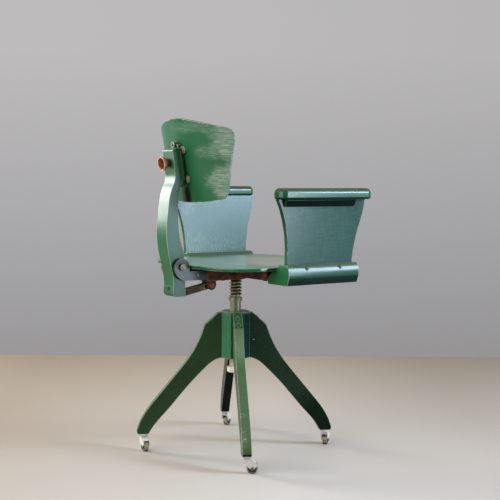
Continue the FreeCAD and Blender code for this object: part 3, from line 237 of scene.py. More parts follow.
def buildWorld():
    # Camera, mirrors and glass show a grey wall; the light itself is stronger from the wall's side.
    world = bpy.data.worlds.new("studio")
    scene.world = world
    world.use_nodes = True
    tree = world.node_tree
    tree.nodes.clear()
    out = addNode(tree, "ShaderNodeOutputWorld")
    ray = addNode(tree, "ShaderNodeLightPath").outputs
    direction = addNode(tree, "ShaderNodeTexCoord").outputs["Generated"]
    facing = alongNode(tree, direction, (viewpoint["aheadX"], viewpoint["aheadY"], 0))
    side = rangeNode(tree, facing, *wall["sides"], {"To Min": wall["darkSide"],
                                                    "To Max": wall["brightSide"]})
    # In a mirror the wall fades towards the camera's side, as the light does.
    seen = addNode(tree, "ShaderNodeBackground")
    tree.links.new(wallColour(tree, direction), seen.inputs["Color"])
    fading = mathNode(tree, "DIVIDE", side, wall["brightSide"])
    strength = mathNode(tree, "MAXIMUM", fading, ray["Is Camera Ray"])
    tree.links.new(strength, seen.inputs["Strength"])
    mirrored = mathNode(tree, "MAXIMUM", ray["Is Glossy Ray"], ray["Is Transmission Ray"])
    shown = mathNode(tree, "MAXIMUM", mirrored, ray["Is Camera Ray"])
    lit = addNode(tree, "ShaderNodeBackground", {"Color": wall["light"]})
    tree.links.new(side, lit.inputs["Strength"])
    pick = addNode(tree, "ShaderNodeMixShader")
    tree.links.new(shown, pick.inputs[0])
    tree.links.new(lit.outputs[0], pick.inputs[1])
    tree.links.new(seen.outputs[0], pick.inputs[2])
    tree.links.new(pick.outputs[0], out.inputs["Surface"])


buildWorld()
print("wall made")

# Floor.
ground = {
    "near": (0.66, 0.60, 0.55, 1), "far": (0.45, 0.370, 0.28, 1), "depths": (-0.55, 1.3),
    "left": (0.70, 0.66, 0.62, 1), "right": (0.80, 0.76, 0.73, 1), "widths": (-0.7, 0.7),
    "middleAt": 0.42,
    "thrown": 0.42, "mirrored": 0.55,
    "behind": 1.34, "spread": 9.0,
    "rough": 0.6, "specular": 0.3,
}


def floorMesh(ahead, aside):
    far = ahead * ground["behind"]
    near = ahead * -ground["spread"]
    wide = aside * ground["spread"]
    mesh = bpy.data.meshes.new("floor")
    mesh.from_pydata([far - wide, near - wide, near + wide, far + wide], [], [(3, 2, 1, 0)])
    return mesh


def floorMaterial(ahead, aside):
    material = bpy.data.materials.new("paleFloor")
    material.use_nodes = True
    tree = material.node_tree
    shader = tree.nodes["Principled BSDF"]
    place = addNode(tree, "ShaderNodeTexCoord").outputs["Object"]
    # The floor is paler near the camera and in the middle, and darker far off and to the sides, a painted
    # pool of light.
    away = rangeNode(tree, alongNode(tree, place, ahead), *ground["depths"])
    tone = rampNode(tree, away, [(0.0, ground["near"]), (1.0, ground["far"])])
    across = rangeNode(tree, alongNode(tree, place, aside), *ground["widths"])
    sides = rampNode(tree, across, [
        (0.0, ground["right"]), (ground["middleAt"], (1, 1, 1, 1)), (1.0, ground["left"])])
    shaded = mixColour(tree, 1.0, tone, sides, blend="MULTIPLY")
    # What the floor throws back on the object is darker than what the camera sees of it.
    ray = addNode(tree, "ShaderNodeLightPath").outputs
    mirrored = addNode(tree, "ShaderNodeMapRange", {"To Min": ground["thrown"],
                                                    "To Max": ground["mirrored"]})
    tree.links.new(ray["Is Glossy Ray"], mirrored.inputs["Value"])
    share = addNode(tree, "ShaderNodeMapRange", {"To Max": 1.0})
    tree.links.new(mirrored.outputs[0], share.inputs["To Min"])
    direct = mathNode(tree, "MAXIMUM", ray["Is Camera Ray"], ray["Is Transmission Ray"])
    tree.links.new(direct, share.inputs["Value"])
    tree.links.new(scaledNode(tree, shaded, share.outputs[0]), shader.inputs["Base Color"])
    shader.inputs["Roughness"].default_value = ground["rough"]
    shader.inputs["Specular IOR Level"].default_value = ground["specular"]
    return material


def buildFloor():
    ahead = Vector((viewpoint["aheadX"], viewpoint["aheadY"], 0)).normalized()
    aside = Vector((-ahead.y, ahead.x, 0))
    mesh = floorMesh(ahead, aside)
    floor = bpy.data.objects.new("floor", mesh)
    scene.collection.objects.link(floor)
    mesh.materials.append(floorMaterial(ahead, aside))


buildFloor()
print("floor placed")


# Node groups that the materials share.
def newGroup(name, inputs, outputs):
    group = bpy.data.node_groups.new(name, "ShaderNodeTree")
    for title, kind, value in inputs:
        socket = group.interface.new_socket(name=title, in_out="INPUT",
                                            socket_type="NodeSocket" + kind)
        socket.default_value = value
    for title, kind in outputs:
        group.interface.new_socket(name=title, in_out="OUTPUT", socket_type="NodeSocket" + kind)
    return group, group.nodes.new("NodeGroupInput").outputs, group.nodes.new("NodeGroupOutput").inputs


def useGroup(tree, group, values=None):
    node = tree.nodes.new("ShaderNodeGroup")
    node.node_tree = group
    for name, value in (values or {}).items():
        node.inputs[name].default_value = value
    return node


# Rubbed arrises with a painted highlight, chips, and painted shade in corners.
edgeLook = {
    "samples": 6,
    "bend": (0.003, 0.12),
    "fineShare": 0.6, "coarseScale": 0.17, "coarseShare": 0.55, "bandShare": 0.42,
    "chipLevel": 1.13, "chipRange": 0.3, "chipSoftness": 0.05, "chipBand": (0.05, 0.3),
    "open": (0.35, 0.95),
}


def buildEdgeWear():
    # The band and the chips lie on the arrises, the band being worn paint and a painted highlight; the
    # crevice mask is painted shade where other faces are near.
    look = edgeLook
    group, given, out = newGroup("edgeWear", [
        ("Radius", "Float", 0.002), ("Scale", "Float", 90.0),
        ("Chips", "Float", 0.5), ("Reach", "Float", 0.009),
    ], [("Band", "Float"), ("Chip", "Float"), ("Crevice", "Float")])
    rounded = addNode(group, "ShaderNodeBevel", samples=look["samples"])
    group.links.new(given["Radius"], rounded.inputs["Radius"])
    surface = addNode(group, "ShaderNodeNewGeometry")
    same = addNode(group, "ShaderNodeVectorMath", operation="DOT_PRODUCT")
    group.links.new(rounded.outputs[0], same.inputs[0])
    group.links.new(surface.outputs["Normal"], same.inputs[1])
    bent = mathNode(group, "SUBTRACT", 1.0, same.outputs["Value"], clamp=True)
    band = stepNode(group, bent, *look["bend"])
    place = addNode(group, "ShaderNodeTexCoord").outputs["Object"]
    fine = noiseNode(group, place, given["Scale"], detail=5.0, roughness=0.65)
    coarseScale = mathNode(group, "MULTIPLY", given["Scale"], look["coarseScale"])
    coarse = noiseNode(group, place, coarseScale, detail=2.0)
    fine = mathNode(group, "MULTIPLY", fine, look["fineShare"])
    both = mathNode(group, "MULTIPLY_ADD", coarse, look["coarseShare"], fine)
    pushed = mathNode(group, "MULTIPLY_ADD", band, look["bandShare"], both)
    lowered = mathNode(group, "MULTIPLY", given["Chips"], look["chipRange"])
    level = mathNode(group, "SUBTRACT", look["chipLevel"], lowered)
    chip = stepNode(group, pushed, level, mathNode(group, "ADD", level, look["chipSoftness"]))
    chip = mathNode(group, "MULTIPLY", chip, stepNode(group, band, *look["chipBand"]))
    # Ambient occlusion gives the painted shade in corners.
    closed = addNode(group, "ShaderNodeAmbientOcclusion", samples=look["samples"])
    group.links.new(given["Reach"], closed.inputs["Distance"])
    crevice = oneMinus(group, stepNode(group, closed.outputs["AO"], *look["open"]))
    group.links.new(band, out["Band"])
    group.links.new(chip, out["Chip"])
    group.links.new(crevice, out["Crevice"])
    return group


# Brushed gloss paint: blotches, streaks along the brush and specks of dirt.
coatLook = {
    "blotchScale": 9.0, "blotch": (0.35, 0.7),
    "streakScale": 60.0, "streak": (0.42, 0.72),
    "speckScale": 420.0, "speck": (0.66, 0.74), "speckColour": (0.012, 0.016, 0.012, 1),
    "smearScale": 23.0, "smearRough": 0.07, "streakRough": 0.05,
    "pebbleScale": 130.0, "pebble": 0.35,
}


def buildPaintCoat():
    look = coatLook
    group, given, out = newGroup("paintCoat", [
        ("Along", "Vector", (0, 0, 0)), ("Place", "Vector", (0, 0, 0)),
        ("Colour", "Color", (0.5, 0.5, 0.5, 1)), ("Deep", "Color", (0.3, 0.3, 0.3, 1)),
        ("Faded", "Color", (0.7, 0.7, 0.7, 1)),
        ("Streaks", "Float", 0.5), ("Blotches", "Float", 0.5), ("Specks", "Float", 0.3),
        ("Gloss", "Float", 0.3),
    ], [("Colour", "Color"), ("Roughness", "Float"), ("Height", "Float")])
    place = given["Place"]
    blotch = noiseNode(group, place, look["blotchScale"], detail=5.0, roughness=0.6, distortion=0.4)
    blotch = mathNode(group, "MULTIPLY", stepNode(group, blotch, *look["blotch"]), given["Blotches"])
    colour = mixColour(group, blotch, given["Colour"], given["Deep"])
    streak = noiseNode(group, given["Along"], look["streakScale"], detail=6.0, roughness=0.62)
    lines = stepNode(group, streak, *look["streak"])
    colour = mixColour(group, mathNode(group, "MULTIPLY", lines, given["Streaks"]), colour, given["Faded"])
    speck = noiseNode(group, place, look["speckScale"], detail=2.0, roughness=0.5)
    speck = mathNode(group, "MULTIPLY", stepNode(group, speck, *look["speck"]), given["Specks"])
    colour = mixColour(group, speck, colour, look["speckColour"])
    smear = noiseNode(group, place, look["smearScale"], detail=5.0, roughness=0.7)
    rough = mathNode(group, "MULTIPLY_ADD", smear, look["smearRough"], given["Gloss"])
    rough = mathNode(group, "MULTIPLY_ADD", lines, look["streakRough"], rough)
    pebble = noiseNode(group, place, look["pebbleScale"], detail=3.0)
    drawn = mathNode(group, "MULTIPLY", streak, given["Streaks"])
    height = mathNode(group, "MULTIPLY_ADD", pebble, look["pebble"], drawn)
    group.links.new(colour, out["Colour"])
    group.links.new(rough, out["Roughness"])
    group.links.new(height, out["Height"])
    return group


# A soft round or oval area about a place, broken by noise.
patchLook = {"edge": (0.35, 1.0), "noiseMiddle": 0.5, "raggedRange": 2.0}


def buildPatch():
    group, given, out = newGroup("patch", [
        ("Place", "Vector", (0, 0, 0)), ("Centre", "Vector", (0, 0, 0)),
        ("Reach", "Vector", (0.1, 0.1, 0.1)),
        ("Ragged", "Float", 0.5), ("Scale", "Float", 40.0),
    ], [("Mask", "Float")])
    offset = addNode(group, "ShaderNodeVectorMath", operation="SUBTRACT")
    group.links.new(given["Place"], offset.inputs[0])
    group.links.new(given["Centre"], offset.inputs[1])
    share = addNode(group, "ShaderNodeVectorMath", operation="DIVIDE")
    group.links.new(offset.outputs[0], share.inputs[0])
    group.links.new(given["Reach"], share.inputs[1])
    far = addNode(group, "ShaderNodeVectorMath", operation="LENGTH")
    group.links.new(share.outputs[0], far.inputs[0])
    rough = noiseNode(group, given["Place"], given["Scale"])
    rough = mathNode(group, "SUBTRACT", rough, patchLook["noiseMiddle"])
    rough = mathNode(group, "MULTIPLY", rough, given["Ragged"])
    rough = mathNode(group, "MULTIPLY", rough, patchLook["raggedRange"])
    edge = mathNode(group, "ADD", far.outputs["Value"], rough)
    group.links.new(oneMinus(group, stepNode(group, edge, *patchLook["edge"])), out["Mask"])
    return group


edgeWear = buildEdgeWear()
paintCoat = buildPaintCoat()
patchMask = buildPatch()
print("shared node groups made")


# Painted wood and metal.
def stain(centre, reach, strength, tint, dull=0):
    # An area painted with another tint, for painted light and shade; dull is the share of the shine that
    # it takes away.
    return {"centre": centre, "reach": reach, "strength": strength, "tint": tint, "dull": dull}


def scuff(centre, reach, strength):
    # An area where the paint is scratched down to the worn colour.
    return {"centre": centre, "reach": reach, "strength": strength}


paintLook = {
    "colour": (0.012, 0.115, 0.036, 1), "deep": (0.008, 0.070, 0.026, 1),
    "faded": (0.075, 0.21, 0.11, 1), "worn": (0.50, 0.58, 0.49, 1), "bare": (0.50, 0.50, 0.38, 1),
    "grain": (1, 1, 1), "gloss": 0.15, "specular": 0.5, "bump": 0.035,
    "streaks": 0.06, "blotches": 0.45, "specks": 0.3, "weave": 0.0,
    "edge": 0.0022, "chips": 0.45, "band": 0.55, "chipScale": 90.0,
    "upper": (0.09, 0.14, 0.06, 1), "upperShare": 0.0, "upperRough": 0.3,
    "ends": (0.02, 0.17, 0.055, 1), "endShare": 0.0,
    "under": (0.004, 0.010, 0.005, 1), "underShare": 0.0,
    # Crevices are darkened with this colour, painted shade.
    "grime": (0.008, 0.012, 0.008, 1), "grimeShare": 0.8, "creviceReach": 0.009,
    "shoulder": None,
    "stains": (), "scuffs": (), "scuffGrain": (0.6, 0.6, 20), "haze": 0.0,
}
wearLook = {
    "up": (0.12, 0.5), "end": (0.7, 0.9), "down": (-0.4, -0.05), "underDull": 0.7,
    "stainRagged": 0.2,
    "shoulderSoft": 0.0012, "scoredLine": (0.0006, 0.0014),
    "weaves": ((1, 30, 420), (1, 420, 30)), "weaveMarks": (0.45, 0.7), "weaveShare": 0.14,
    "scratchScale": 60.0, "scratch": (0.45, 0.70), "scuffRough": 0.2,
    "chipRough": 0.3, "chipDepth": -0.8, "bumpDistance": 0.001,
}


def tintFaces(tree, coat, look, normal, facingUp):
    # Faces turned up get another tint and a duller gloss: painted light from above, and dust.
    if look["upperShare"]:
        raised = mathNode(tree, "MULTIPLY", facingUp, look["upperShare"])
        coat["colour"] = mixColour(tree, raised, coat["colour"], look["upper"])
        coat["rough"] = mathNode(tree, "MULTIPLY_ADD", raised, look["upperRough"], coat["rough"])
    # Faces turned to the front and the rear get a clearer green, painted light from the rear.
    if look["endShare"]:
        end = stepNode(tree, mathNode(tree, "ABSOLUTE", normal["Y"]), *wearLook["end"])
        end = mathNode(tree, "MULTIPLY", end, look["endShare"])
        coat["colour"] = mixColour(tree, end, coat["colour"], look["ends"])


def addStains(tree, coat, look, place):
    for area in look["stains"]:
        patch = useGroup(tree, patchMask, {"Centre": area["centre"], "Reach": area["reach"],
                                           "Ragged": wearLook["stainRagged"]})
        tree.links.new(place, patch.inputs["Place"])
        mask = mathNode(tree, "MULTIPLY", patch.outputs[0], area["strength"])
        coat["colour"] = mixColour(tree, mask, coat["colour"], area["tint"])
        if area["dull"]:
            loss = -area["dull"] * look["specular"]
            coat["specular"] = mathNode(tree, "MULTIPLY_ADD", mask, loss, coat["specular"])


def darkenUnderside(tree, coat, look, normal):
    # Faces turned down are darker and duller, painted shade.
    lowered = oneMinus(tree, stepNode(tree, normal["Z"], *wearLook["down"]))
    lowered = mathNode(tree, "MULTIPLY", lowered, look["underShare"])
    coat["colour"] = mixColour(tree, lowered, coat["colour"], look["under"])
    loss = -wearLook["underDull"] * look["specular"]
    coat["specular"] = mathNode(tree, "MULTIPLY_ADD", lowered, loss, coat["specular"])


def markShoulder(tree, coat, look, place, facingUp):
    # Above this height an upper face has another shade, with a scored line at the change.
    level, shade = look["shoulder"]
    height = heightNode(tree, place)
    above = stepNode(tree, height, level, level + wearLook["shoulderSoft"])
    above = mathNode(tree, "MULTIPLY", facingUp, above)
    coat["colour"] = mixColour(tree, above, coat["colour"], shade)
    off = mathNode(tree, "ABSOLUTE", mathNode(tree, "SUBTRACT", height, level))
    line = oneMinus(tree, stepNode(tree, off, *wearLook["scoredLine"]))
    line = mathNode(tree, "MULTIPLY", facingUp, line)
    coat["colour"] = mixColour(tree, line, coat["colour"], look["grime"])


def addWeave(tree, coat, look, place):
    # Crossed brush marks, finer than a cloth's threads.
    for stretch in wearLook["weaves"]:
        marks = noiseNode(tree, stretchedNode(tree, place, stretch), 1.0, detail=2.0)
        coat["height"] = mathNode(tree, "MULTIPLY_ADD", marks, look["weave"], coat["height"])
        light = stepNode(tree, marks, *wearLook["weaveMarks"])
        light = mathNode(tree, "MULTIPLY", light, wearLook["weaveShare"])
        coat["colour"] = mixColour(tree, light, coat["colour"], look["faded"])


def addScuffs(tree, coat, look, place):
    # Scratches within each area; the share of the area that is lightened evenly is a painted sheen.
    drawn = stretchedNode(tree, place, look["scuffGrain"])
    scratches = noiseNode(tree, drawn, wearLook["scratchScale"], detail=3.0, roughness=0.6)
    scratches = stepNode(tree, scratches, *wearLook["scratch"])
    for area in look["scuffs"]:
        patch = useGroup(tree, patchMask, {"Centre": area["centre"], "Reach": area["reach"]})
        tree.links.new(place, patch.inputs["Place"])
        rubbed = mathNode(tree, "MULTIPLY_ADD", scratches, 1.0 - look["haze"], look["haze"])
        mask = mathNode(tree, "MULTIPLY", patch.outputs[0], rubbed)
        mask = mathNode(tree, "MULTIPLY", mask, area["strength"])
        coat["colour"] = mixColour(tree, mask, coat["colour"], look["worn"])
        coat["rough"] = mathNode(tree, "MULTIPLY_ADD", mask, wearLook["scuffRough"], coat["rough"])


def rubEdges(tree, coat, look, wear):
    # Arrises are paler, worn paint and a painted highlight; chips show the bare wood; crevices get painted
    # shade.
    band = mathNode(tree, "MULTIPLY", wear["Band"], look["band"])
    coat["colour"] = mixColour(tree, band, coat["colour"], look["faded"])
    coat["colour"] = mixColour(tree, wear["Chip"], coat["colour"], look["bare"])
    crevice = mathNode(tree, "MULTIPLY", wear["Crevice"], look["grimeShare"])
    coat["colour"] = mixColour(tree, crevice, coat["colour"], look["grime"])
    coat["rough"] = mathNode(tree, "MULTIPLY_ADD", wear["Chip"], wearLook["chipRough"], coat["rough"])
    coat["height"] = mathNode(tree, "MULTIPLY_ADD", wear["Chip"], wearLook["chipDepth"],
                              coat["height"])


def addRelief(tree, shader, height, strength, distance):
    relief = addNode(tree, "ShaderNodeBump", {"Strength": strength, "Distance": distance})
    tree.links.new(height, relief.inputs["Height"])
    tree.links.new(relief.outputs[0], shader.inputs["Normal"])


def paintMaterial(name, **changes):
    look = {**paintLook, **changes}
    material = bpy.data.materials.new(name)
    material.use_nodes = True
    tree = material.node_tree
    shader = tree.nodes["Principled BSDF"]
    place = addNode(tree, "ShaderNodeTexCoord").outputs["Object"]
    base = useGroup(tree, paintCoat, {
        "Colour": look["colour"], "Deep": look["deep"], "Faded": look["faded"], "Gloss": look["gloss"],
        "Streaks": look["streaks"], "Blotches": look["blotches"], "Specks": look["specks"]})
    tree.links.new(place, base.inputs["Place"])
    tree.links.new(stretchedNode(tree, place, look["grain"]), base.inputs["Along"])
    wear = useGroup(tree, edgeWear, {"Radius": look["edge"], "Scale": look["chipScale"],
                                     "Chips": look["chips"], "Reach": look["creviceReach"]}).outputs
    coat = {"colour": base.outputs["Colour"], "rough": base.outputs["Roughness"],
            "height": base.outputs["Height"], "specular": look["specular"]}
    split = addNode(tree, "ShaderNodeSeparateXYZ")
    tree.links.new(addNode(tree, "ShaderNodeNewGeometry").outputs["True Normal"], split.inputs[0])
    normal = split.outputs
    facingUp = stepNode(tree, normal["Z"], *wearLook["up"])
    tintFaces(tree, coat, look, normal, facingUp)
    addStains(tree, coat, look, place)
    if look["underShare"]:
        darkenUnderside(tree, coat, look, normal)
    if look["shoulder"]:
        markShoulder(tree, coat, look, place, facingUp)
    if look["weave"]:
        addWeave(tree, coat, look, place)
    if look["scuffs"]:
        addScuffs(tree, coat, look, place)
    rubEdges(tree, coat, look, wear)
    feed(tree, shader.inputs["Base Color"], coat["colour"])
    feed(tree, shader.inputs["Roughness"], coat["rough"])
    feed(tree, shader.inputs["Specular IOR Level"], coat["specular"])
    addRelief(tree, shader, coat["height"], look["bump"], wearLook["bumpDistance"])
    return material


# Brush strokes run along one axis of the frame.
brush = {"x": (1.2, 1.2, 14), "y": (3, 1.2, 14), "z": (14, 6, 1.2)}

# Hub paint.
# The hub's wide pale arris band is a painted highlight.
hubPaint = paintMaterial(
    "hubPaint", grain=brush["z"], gloss=0.12, chips=0.3, edge=0.006, band=0.8, creviceReach=0.03,
    colour=(0.026, 0.18, 0.075, 1), deep=(0.014, 0.11, 0.045, 1),
    # Painted shade on the hub's face between the near leg and leg 3, and in the corner beside the near
    # leg.
    stains=(
        stain((-0.033, -0.014, 0.288), (0.024, 0.028, 0.20), 0.95, (0.004, 0.026, 0.020, 1), 0.9),
        stain((-0.030, 0.024, 0.288), (0.012, 0.012, 0.20), 0.8, (0.004, 0.040, 0.010, 1), 0.5),
    ))
topPlatePaint = paintMaterial(
    "topPlatePaint", grain=(3, 3, 3), gloss=0.4, chips=0.6,
    colour=(0.13, 0.20, 0.11, 1), deep=(0.10, 0.12, 0.08, 1), faded=(0.36, 0.40, 0.32, 1))

# Leg paint, darker than the other parts' green, painted shade; legs 3 and 4 get a still darker copy, more
# painted shade.
legLook = {
    "grain": (5, 5, 3), "gloss": 0.2, "specular": 0.35, "streaks": 0.02, "specks": 0.12,
    "chips": 0.6, "edge": 0.0026, "band": 0.9,
    "colour": (0.020, 0.066, 0.018, 1), "deep": (0.011, 0.036, 0.011, 1),
    "faded": (0.27, 0.38, 0.26, 1),
    "upper": (0.080, 0.150, 0.060, 1), "upperShare": 0.85, "underShare": 0.95,
    "shoulder": (0.3165, (0.03, 0.13, 0.045, 1)), "scuffGrain": (3, 3, 3),
}
legPaint = paintMaterial(
    "legPaint", **legLook,
    # The first scuff is worn paint with a painted reflection on the near leg's lower end.
    scuffs=(
        scuff((-0.197, 0.114, 0.072), (0.02, 0.02, 0.04), 0.7),
        scuff((-0.176, 0.10, 0.13), (0.012, 0.012, 0.006), 0.9),
    ),
    # Painted light on the near leg's top and on its lower end.
    stains=(
        stain((-0.078, 0.040, 0.290), (0.06, 0.05, 0.085), 0.45, (0.24, 0.32, 0.19, 1)),
        stain((-0.197, 0.105, 0.095), (0.05, 0.05, 0.07), 0.4, (0.10, 0.12, 0.04, 1)),
    ))
darkLegPaint = paintMaterial(
    "darkLegPaint",
    **{**legLook, "colour": (0.009, 0.031, 0.012, 1), "deep": (0.005, 0.018, 0.007, 1)},
    scuffs=(
        scuff((-0.030, -0.036, 0.2768), (0.008, 0.014, 0.0016), 1.0),
    ),
    # Painted shade low on leg 3.
    stains=(
        stain((-0.104, -0.178, 0.055), (0.08, 0.11, 0.12), 0.9, (0.003, 0.012, 0.005, 1), 0.7),
    ))
plugPaint = paintMaterial(
    "legPlugPaint", chips=0.9, edge=0.0012, band=0.9, grimeShare=0.3,
    colour=(0.03, 0.13, 0.045, 1), deep=(0.02, 0.09, 0.035, 1), faded=(0.26, 0.38, 0.24, 1))

# Arm paint.
armGreen = {
    "colour": (0.009, 0.076, 0.032, 1), "deep": (0.006, 0.050, 0.023, 1),
    "under": (0.003, 0.014, 0.010, 1), "underShare": 0.8,
    "ends": (0.018, 0.115, 0.04, 1), "endShare": 0.8,
}
# The near panel's paint is darker and bluer than the far panel's, painted shade and painted reflection.
panelPaint = paintMaterial(
    "armPanelPaint", grain=brush["y"], chips=0.45, weave=0.5, bump=0.05,
    **{**armGreen, "colour": (0.009, 0.064, 0.038, 1), "deep": (0.006, 0.046, 0.028, 1)})
farPanelPaint = paintMaterial(
    "farArmPanelPaint", **armGreen, grain=brush["z"], chips=0.5, streaks=0.2, bump=0.06,
    scuffGrain=(14, 14, 0.7),
    scuffs=(
        scuff((0.22, -0.04, 0.50), (0.05, 0.20, 0.04), 0.35),
        scuff((0.22, 0.0, 0.60), (0.05, 0.03, 0.02), 0.5),
    ),
    # Painted shade along the foot of the far panel.
    stains=(
        stain((0.22, -0.08, 0.462), (0.05, 0.16, 0.028), 0.6, (0.006, 0.02, 0.02, 1), 0.4),
    ))
capPaint = paintMaterial(
    "armCapPaint", grain=brush["y"], gloss=0.14, chips=0.6, edge=0.003,
    upper=(0.035, 0.05, 0.015, 1), upperShare=0.8, upperRough=0.5, underShare=0.9,
    ends=(0.015, 0.10, 0.03, 1), endShare=0.8)
# The batten's lower faces are dark all over, painted shade under the cap.
battenPaint = paintMaterial(
    "armBattenPaint", grain=brush["y"], chips=0.6, edge=0.0016, specular=0.2,
    **{**armGreen, "underShare": 1.0})
blockPaint = paintMaterial(
    "armBlockPaint", grain=brush["y"], gloss=0.16, chips=0.55,
    upper=(0.13, 0.15, 0.07, 1), upperShare=0.4,
    **{**armGreen, "underShare": 0.9, "ends": (0.022, 0.165, 0.05, 1)})

# Seat paint; its upward faces are paler, painted reflection, and one area is paler still, painted light.
seatPaint = paintMaterial(
    "seatPaint", grain=brush["y"], gloss=0.10, chips=0.5, edge=0.0025, band=0.8,
    bump=0.003, blotches=0.2, specks=0.08, streaks=0.02, underShare=0.9,
    upper=(0.13, 0.20, 0.14, 1), upperShare=0.6,
    stains=(
        stain((0.030, -0.145, 0.4625), (0.17, 0.10, 0.06), 0.6, (0.40, 0.38, 0.32, 1)),
    ))

# Upright and backrest paint.
uprightPaint = paintMaterial(
    "uprightPaint", grain=brush["z"], gloss=0.27, chips=1.0, edge=0.0024, bump=0.02, streaks=0.12,
    colour=(0.016, 0.13, 0.046, 1), bare=(0.62, 0.66, 0.50, 1),
    scuffGrain=(5, 5, 5),
    scuffs=(
        scuff((0, 0.195, 0.411), (0.004, 0.01, 0.004), 1.0),
    ))
backPaint = paintMaterial(
    "backrestPaint", grain=brush["x"], gloss=0.18, chips=0.55, edge=0.003, band=0.8, haze=0.2,
    colour=(0.022, 0.145, 0.058, 1), deep=(0.013, 0.10, 0.036, 1),
    # Painted shadow beside the upright below the bracket, dark on one side and brown-grey on the other.
    stains=(
        stain((-0.006, 0.143, 0.640), (0.020, 0.012, 0.060), 1.0, (0.006, 0.014, 0.008, 1), 0.9),
        stain((0.010, 0.143, 0.630), (0.013, 0.012, 0.034), 0.9, (0.07, 0.055, 0.045, 1), 0.5),
    ),
    # Scratched paint, lightened further by a painted sheen.
    scuffs=(
        scuff((-0.145, 0.125, 0.765), (0.06, 0.07, 0.055), 0.8),
        scuff((-0.13, 0.12, 0.668), (0.060, 0.07, 0.055), 1.0),
        scuff((-0.07, 0.15, 0.800), (0.12, 0.07, 0.020), 0.35),
        scuff((-0.095, 0.14, 0.742), (0.05, 0.07, 0.022), 0.35),
        scuff((-0.158, 0.11, 0.72), (0.035, 0.07, 0.11), 0.5),
    ))

# Paint on the metal pieces.
barPaint = paintMaterial(
    "sideBarPaint", grain=brush["y"], gloss=0.22, chips=0.8, edge=0.0014,
    colour=(0.010, 0.045, 0.035, 1), deep=(0.006, 0.025, 0.020, 1), faded=(0.16, 0.26, 0.20, 1),
    # Painted shadow of the seat on the bars' front part.
    stains=(
        stain((-0.0325, 0.108, 0.443), (0.03, 0.046, 0.06), 0.9, (0.008, 0.022, 0.016, 1), 0.85),
    ))
# Its arrises are pale all round, worn paint and a painted highlight.
bracketPaint = paintMaterial(
    "bracketPaint", grain=(3, 3, 3), chips=1.8, edge=0.0026, band=1.0, grimeShare=0.6,
    colour=(0.07, 0.17, 0.07, 1), deep=(0.04, 0.10, 0.04, 1), faded=(0.62, 0.72, 0.52, 1),
    bare=(0.85, 0.88, 0.72, 1))
creamPaint = paintMaterial(
    "creamPaint", grain=(3, 3, 3), gloss=0.35, chips=0.5, edge=0.0012, specks=0.8,
    colour=(0.80, 0.76, 0.66, 1), deep=(0.66, 0.61, 0.50, 1), faded=(0.88, 0.86, 0.80, 1),
    bare=(0.16, 0.12, 0.08, 1), grime=(0.06, 0.045, 0.03, 1))
print("paints made")

# Cast, forged or turned metal: mottled colour, rust in blotches, rubbed edges.
metalLook = {
    "rusty": 0.4, "bump": 0.3, "scale": 60.0,
    "edge": 0.0012, "chips": 0.4, "shine": (0.6, 0.56, 0.46, 1),
    # Crevices are darkened with this colour, painted shade.
    "grime": (0.012, 0.009, 0.006, 1), "grimeShare": 0.8, "reach": 0.009,
    "thread": None,
}
rustLook = {
    "mottle": (0.35, 0.68), "mottleRough": 0.15,
    "scale": 0.6, "low": (0.62, 0.3), "high": (0.74, 0.2), "share": 0.85, "rough": 0.25,
    "chipScale": 160.0,
    "gritScale": 7, "relief": 0.8, "reliefDistance": 0.0006,
}


def colourSpindle(tree, colour, look, place):
    # The thread is darker nearer to the axis than its crest, painted shade in its roots; below it the
    # shank is bare.
    thread = look["thread"]
    flat = addNode(tree, "ShaderNodeVectorMath", operation="MULTIPLY")
    flat.inputs[1].default_value = (1, 1, 0)
    tree.links.new(place, flat.inputs[0])
    far = addNode(tree, "ShaderNodeVectorMath", operation="LENGTH")
    tree.links.new(flat.outputs[0], far.inputs[0])
    height = heightNode(tree, place)
    inner = oneMinus(tree, stepNode(tree, far.outputs["Value"], *thread["radii"]))
    threaded = stepNode(tree, height, thread["bottom"], thread["bottom"] + thread["bottomSoft"])
    colour = mixColour(tree, mathNode(tree, "MULTIPLY", inner, threaded), colour, look["grime"])
    shank = mathNode(tree, "MULTIPLY", oneMinus(tree, threaded), thread["shankShare"])
    colour = mixColour(tree, shank, colour, thread["shank"])
    foot = oneMinus(tree, stepNode(tree, height, thread["foot"], thread["foot"] + thread["footSoft"]))
    return mixColour(tree, mathNode(tree, "MULTIPLY", foot, thread["footShare"]), colour,
                     thread["footColour"])


